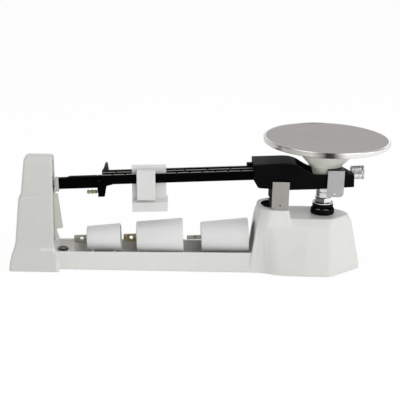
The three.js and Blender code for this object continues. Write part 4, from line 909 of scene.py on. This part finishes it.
def makeNut():
    n = nutShape
    turns = [whole * i / n["sides"] for i in range(n["sides"])]
    corners = [(n["corner"] * math.sin(t), -n["corner"] * math.cos(t)) for t in turns]
    mesh = slabMesh("hexNut", corners, n["low"], n["high"], "xy")
    soften(newPiece("hexNut", mesh, "nutSteel", "pan_carrier", ["stem_nut"]), 0.4, 2)
    r, low, high = n["flange"], n["flangeLow"], n["flangeHigh"]
    turnedPiece("nutFlange", [
        (n["bore"], low, 0.1), (r - 0.2, low, 0.2), (r, low + 0.3, 0.2), (r, high - 0.3, 0.2),
        (r - 0.3, high, 0.2), (r - 0.9, high, 0.1), (r - 1.1, high - 0.25, 0.1), (n["bore"], high - 0.25, 0.1),
    ], "flangeSteel", "pan_carrier", closed=True)


makeStem()
makeRings()
makeNut()
print("stem made")


# beams with graduations on the side turned from the camera
beamShape = {"spacing": 10.5, "thick": 3.2, "top": 125.5, "height": 11.4, "left": -264.7, "right": -79.0,
             "notchHalf": 0.9, "notchDepth": 1.1}
markShape = {"drop": 1.6, "long": 3.2, "middle": 2.4, "short": 1.6, "half": 0.16, "sunk": 0.02, "proud": 0.05,
             "numberDrop": 8.8, "numberProud": 0.03, "numberSize": 3.6, "numberThick": 0.02}
scales = {
    "near": {"y": -beamShape["spacing"], "node": "near_beam", "steps": 10, "from": -100.0, "to": -252.0,
             "minor": 1, "by": 10},
    "middle": {"y": 0.0, "node": "middle_beam", "steps": 5, "from": -112.0, "to": -248.0,
               "minor": 1, "by": 100},
    "far": {"y": beamShape["spacing"], "node": "far_beam", "steps": 10, "from": -98.0, "to": -252.0,
            "minor": 10, "by": 1},
}


def makeBeam(side):
    s, b, m = scales[side], beamShape, markShape
    half, under = b["thick"] / 2, b["top"] - b["height"]
    gap = (s["to"] - s["from"]) / s["steps"]
    outline = [(b["left"], under), (b["right"], under), (b["right"], b["top"])]
    if s["minor"] == 1:     # a notch for the poise at each numbered line
        for i in range(s["steps"] + 1):
            x = s["from"] + gap * i
            outline += [(x + b["notchHalf"], b["top"]), (x, b["top"] - b["notchDepth"]),
                        (x - b["notchHalf"], b["top"])]
    outline.append((b["left"], b["top"]))
    mesh = slabMesh(side + "Beam", outline, s["y"] - half, s["y"] + half, "xz", onBeam)
    soften(newPiece(side + "BeamBar", mesh, "blackEnamel", "beam", [s["node"]]), 0.35, 2)
    face, high = s["y"] + half, b["top"] - m["drop"]
    joined = bmesh.new()
    for i in range(s["steps"] * s["minor"] + 1):
        x = s["from"] + gap * i / s["minor"]
        length = m["long"] if i % s["minor"] == 0 else m["middle"] if i % 5 == 0 else m["short"]
        mark = boxMesh("mark", (x - m["half"], x + m["half"]), (face - m["sunk"], face + m["proud"]),
                       (high - length, high), onBeam)
        joined.from_mesh(mark)
        bpy.data.meshes.remove(mark)
    lines = bpy.data.meshes.new(side + "Marks")
    joined.to_mesh(lines)
    joined.free()
    newPiece(side + "BeamMarks", lines, "scaleWhite", "beam")
    for i in range(s["steps"] + 1):
        place = onBeam(s["from"] + gap * i, face + m["numberProud"], b["top"] - m["numberDrop"])
        number(str(i * s["by"]), place, side + "Number" + str(i))


# a plain number, read from the far side
def number(words, origin, name):
    curve = bpy.data.curves.new(name, "FONT")
    curve.body = words
    curve.size = markShape["numberSize"] * mm
    curve.align_x = "CENTER"
    curve.extrude = markShape["numberThick"] * mm
    holder = bpy.data.objects.new(name + "Curve", curve)
    bpy.context.scene.collection.objects.link(holder)
    ready = holder.evaluated_get(bpy.context.evaluated_depsgraph_get())
    mesh = bpy.data.meshes.new_from_object(ready)
    bpy.data.objects.remove(holder)
    lean = Matrix.Rotation(-fulcrum["tilt"], 4, "Y")
    face = Matrix(((-1, 0, 0, 0), (0, 0, 1, 0), (0, 1, 0, 0), (0, 0, 0, 1)))
    mesh.transform(Matrix.Translation(origin) @ lean @ face)
    newPiece(name, mesh, "scaleWhite", "beam")


for side in scales:
    makeBeam(side)
print("beams made")


# hanger pin: its tip, measured from the free end, then two beads
pinShape = {"left": -283.6, "root": -266.5, "z": 102.2, "neck": 1.6, "beadsFrom": 4.9, "shoulder": 0.6,
            "gap": 2.2, "round": 0.3, "beads": ((2.6, 2.0), (2.5, 1.2)),
            "tip": [(0, 0, 0), (1.3, 0, 0.2), (2.3, 0.8, 0.4), (2.4, 3.0, 0.4), (1.6, 3.7, 0.3)]}


def makePin():
    p = pinShape
    neck, fillet = p["neck"], p["round"]
    profile = [(radius, p["left"] + step, rounding) for radius, step, rounding in p["tip"]]
    x = p["left"] + p["beadsFrom"]
    for radius, wide in p["beads"]:
        start, end = x + p["shoulder"], x + p["shoulder"] + wide
        profile += [(neck, x, fillet), (radius, start, fillet), (radius, end, fillet),
                    (neck, end + p["shoulder"], fillet)]
        x += p["gap"] + wide
    profile += [(neck, p["root"], 0), (0, p["root"], 0)]
    turnedPiece("brassPin", profile, "brass", "beam", ["hanger_pin"], 40.0, (0.0, p["z"]),
                along="x", place=onBeam, segments=64)


# the knob's rows are radius, place and whether they are knurled
knobShape = {"z": 116.0, "bore": 2.9, "boreEnd": 45.8, "knurls": 44, "depth": 0.35, "between": 0.35, "rows": [
    (2.9, 31.5, 0), (7.2, 31.5, 0), (7.85, 32.0, 0), (8.1, 32.6, 1), (8.1, 43.6, 1), (7.6, 44.0, 0),
    (7.6, 44.8, 0), (8.4, 45.0, 0), (8.6, 45.4, 1), (8.6, 46.3, 1), (7.9, 47.0, 0), (4.2, 47.0, 0),
    (3.6, 46.5, 0), (0.0, 46.5, 0)]}
studShape = {"left": 22.4, "right": 45.4, "pitch": 0.8, "root": 2.3, "crest": 2.6, "tip": 2.2}


def makeKnob():
    k = knobShape
    segments = k["knurls"] * 4
    angles = [whole * i / segments for i in range(segments)]
    points = []
    for radius, x, cut in k["rows"]:
        for i, angle in enumerate(angles):
            r = radius - k["depth"] * (1 if i % 4 == 0 else k["between"] if i % 2 else 0.0) * cut
            points.append(onBeam(x, r * math.cos(angle), k["z"] + r * math.sin(angle)))
    faces = ringFaces(len(k["rows"]), segments)
    bore = len(points)
    for i, angle in enumerate(angles):
        points.append(onBeam(k["boreEnd"], k["bore"] * math.cos(angle), k["z"] + k["bore"] * math.sin(angle)))
        j = (i + 1) % segments
        faces.append((i, bore + i, bore + j, j))
    faces.append(tuple(range(bore, bore + segments)))
    knob = meshOf("zeroKnobKnurled", points, faces)
    newPiece("zeroKnobKnurled", knob, "knurled", "zero_knob", ["zero_knob"], 25.0)


def makeStud():
    s = studShape
    x = s["left"]
    profile = [(0, x, 0)]
    while x + s["pitch"] < s["right"]:
        profile += [(s["root"], x, 0), (s["crest"], x + s["pitch"] / 2, 0)]
        x += s["pitch"]
    profile += [(s["tip"], x, 0), (0, x, 0)]
    turnedPiece("threadedStud", profile, "steel", "beam", ["zero_stud"], centre=(0.0, knobShape["z"]),
                along="x", place=onBeam, segments=40)


# the levelling wheel on its screw; its rows are radius, height and whether they are grooved
wheelShape = {"segments": 96, "grooves": 24, "depth": 0.18, "rows": [
    (2.4, 2.5, 0), (2.4, 21.35, 0), (5.6, 21.35, 0), (6.0, 21.75, 1), (6.0, 23.35, 1), (5.5, 23.85, 0),
    (3.0, 23.85, 0), (2.6, 23.35, 0), (0.0, 23.35, 0)]}


def makeThumbwheel():
    w, hole = wheelShape, castBase["screwHole"]
    points = []
    for radius, z, grooved in w["rows"]:
        for i in range(w["segments"]):
            angle = whole * i / w["segments"]
            r = radius + w["depth"] * math.cos(w["grooves"] * angle) * grooved
            points.append(atRest(hole["x"] + r * math.cos(angle), hole["y"] + r * math.sin(angle), z))
    faces = ringFaces(len(w["rows"]), w["segments"]) + [tuple(range(w["segments"] - 1, -1, -1))]
    newPiece("levellingWheel", meshOf("levellingWheel", points, faces), "darkPlastic", "levelling_screw",
             ["levelling_screw"], 25.0)


# the small poise on the far beam, with its finger fin
smallPoise = {"y": beamShape["spacing"], "half": 3.6, "window": 2.0, "gap": 0.4, "cut": (-270, -250),
              "outline": [
    (-265.3, 111.2), (-265.3, 124.9), (-264.6, 125.7), (-262.9, 128.4), (-261.3, 133.1), (-260.6, 134.4),
    (-259.5, 134.9), (-258.4, 134.6), (-257.9, 133.4), (-257.0, 125.5), (-256.9, 111.2)]}


def makeSmallPoise():
    s, b = smallPoise, beamShape
    body = slabMesh("smallPoise", s["outline"], s["y"] - s["half"], s["y"] + s["half"], "xz", onBeam)
    window = boxMesh("window", s["cut"], (s["y"] - s["window"], s["y"] + s["window"]),
                     (b["top"] - b["height"] - s["gap"], b["top"] + s["gap"]), onBeam)
    mesh = cutWith(body, [window])
    soften(newPiece("smallPoiseMoulded", mesh, "darkPlastic", "small_poise", ["small_poise"]), 0.4, 2)


makePin()
makeKnob()
makeStud()
makeThumbwheel()
makeSmallPoise()
print("small turned parts made")

# the other pieces: bevelled copies of their CAD nodes; a name that ends in _ stands for a near and a far one
dressing = {
    "yoke_casting": ("castingBlack", 0.8, 3), "end_crosspiece": ("armBlack", 0.6, 3),
    "pointer_arm": ("armBlack", 0.4, 2), "pointer_tip": ("whitePlate", 0.3, 2),
    "damper_vane": ("steel", 0.15, 2), "fulcrum_knife_": ("steel", 0.1, 1), "load_knife_": ("steel", 0.1, 1),
    "large_poise": ("poiseEnamel", 0.5, 2), "middle_poise": ("poiseEnamel", 0.5, 2),
    "stirrup_": ("zincSheet", 0.70, 3), "load_bearing_": ("agate", 0.2, 2),
    "fulcrum_bracket": ("bracketSheet", 0.70, 3), "bracket_screw_": ("steel", 0.3, 2),
    "fulcrum_bearing_": ("agate", 0.2, 2), "index_plate": ("whitePlate", 0.3, 2),
    "damper_magnet_": ("magnet", 0.4, 2), "damper_yoke": ("steel", 0.3, 2),
    "lower_stop": ("rubber", 0.4, 2), "upper_stop": ("paleRubber", 0.2, 1),
    "front_foot_": ("footRubber", 0.6, 3), "post_foot_": ("footRubber", 0.6, 3),
    "check_bracket": ("steel", 0.3, 2), "check_link": ("steel", 0.3, 2),
}
for node, (finish, bevel, segments) in dressing.items():
    for side in ("near", "far") if node.endswith("_") else ("",):
        dressed(node + side, finish, bevel, segments)
print("kinds of piece dressed:", len(dressing))


# studio
pure = (1.0, 1.0, 1.0, 1.0)
studio = {"floorSize": 6.0, "floorZ": -0.0002, "patchScale": 1.6, "patchLow": 0.40, "patchHigh": 0.60,
          "bright": 1.15, "dim": 0.30, "floorShow": 0.94, "paper": 0.97,
          "lamps": [("overhead", (0.1, -0.15, 1.6), (0.0, 0.0, 0.05), 1.8, 9.5),
                    ("front", (0.7, -1.9, 0.85), (0.0, 0.0, 0.08), 1.4, 12.0),
                    ("side", (1.9, -0.6, 0.8), (0.0, 0.0, 0.08), 1.0, 8.0)]}


def makeStudio():
    scene = bpy.context.scene
    scene.view_settings.view_transform = "Standard"
    world = bpy.data.worlds.new("studioWorld")
    world.use_nodes = True
    scene.world = world
    tree = world.node_tree
    tree.nodes.clear()
    kinds = ("OutputWorld", "MixShader", "Background", "Background", "TexCoord", "TexNoise", "MapRange",
             "LightPath", "Math")
    out, mix, plain, seen, way, patches, level, path, shown = (
        tree.nodes.new("ShaderNode" + kind) for kind in kinds)
    shown.operation = "MAXIMUM"
    # the room round the table: pale, with dimmer patches that metal picks up
    for node, name, value in (
            (patches, "Scale", studio["patchScale"]), (patches, "Detail", 1.0),
            (level, "From Min", studio["patchLow"]), (level, "From Max", studio["patchHigh"]),
            (level, "To Min", studio["dim"]), (level, "To Max", studio["bright"]),
            (plain, "Color", pure), (seen, "Color", pure), (seen, "Strength", 1.0)):
        node.inputs[name].default_value = value
    for start, end in (
            (way.outputs["Generated"], patches.inputs["Vector"]), (patches.outputs[0], level.inputs["Value"]),
            (level.outputs[0], plain.inputs[1]), (path.outputs["Is Camera Ray"], shown.inputs[0]),
            (path.outputs["Is Transmission Ray"], shown.inputs[1]), (shown.outputs[0], mix.inputs[0]),
            (plain.outputs[0], mix.inputs[1]), (seen.outputs[0], mix.inputs[2]),
            (mix.outputs[0], out.inputs[0])):
        tree.links.new(start, end)

    size, z = studio["floorSize"], studio["floorZ"]
    corners = [(-size, -size, z), (size, -size, z), (size, size, z), (-size, size, z)]
    floorMesh = meshOf("studioFloor", corners, [(0, 1, 2, 3)])
    floor = bpy.data.objects.new("studioFloor", floorMesh)
    scene.collection.objects.link(floor)
    f = Finish("floorPaper")
    white = f.tree.nodes.new("ShaderNodeEmission")
    white.inputs[0].default_value = pure
    paper = f.tree.nodes.new("ShaderNodeBsdfDiffuse")
    paper.inputs[0].default_value = (studio["paper"], studio["paper"], studio["paper"], 1.0)
    blend = f.tree.nodes.new("ShaderNodeMixShader")
    rays = f.tree.nodes.new("ShaderNodeLightPath")
    seenRay = Wire(f, rays.outputs["Is Camera Ray"])
    f.feed(blend.inputs[0], seenRay * studio["floorShow"])
    f.tree.links.new(paper.outputs[0], blend.inputs[1])
    f.tree.links.new(white.outputs[0], blend.inputs[2])
    f.tree.links.new(blend.outputs[0], f.output.inputs[0])
    floorMesh.materials.append(f.material)

    for name, place, target, size, power in studio["lamps"]:
        lamp = bpy.data.lights.new(name, "AREA")
        lamp.shape = "SQUARE"
        lamp.size = size
        lamp.energy = power
        holder = bpy.data.objects.new(name, lamp)
        scene.collection.objects.link(holder)
        holder.location = place
        holder.rotation_euler = (Vector(target) - Vector(place)).to_track_quat("-Z", "Y").to_euler()


makeStudio()
print("studio made")
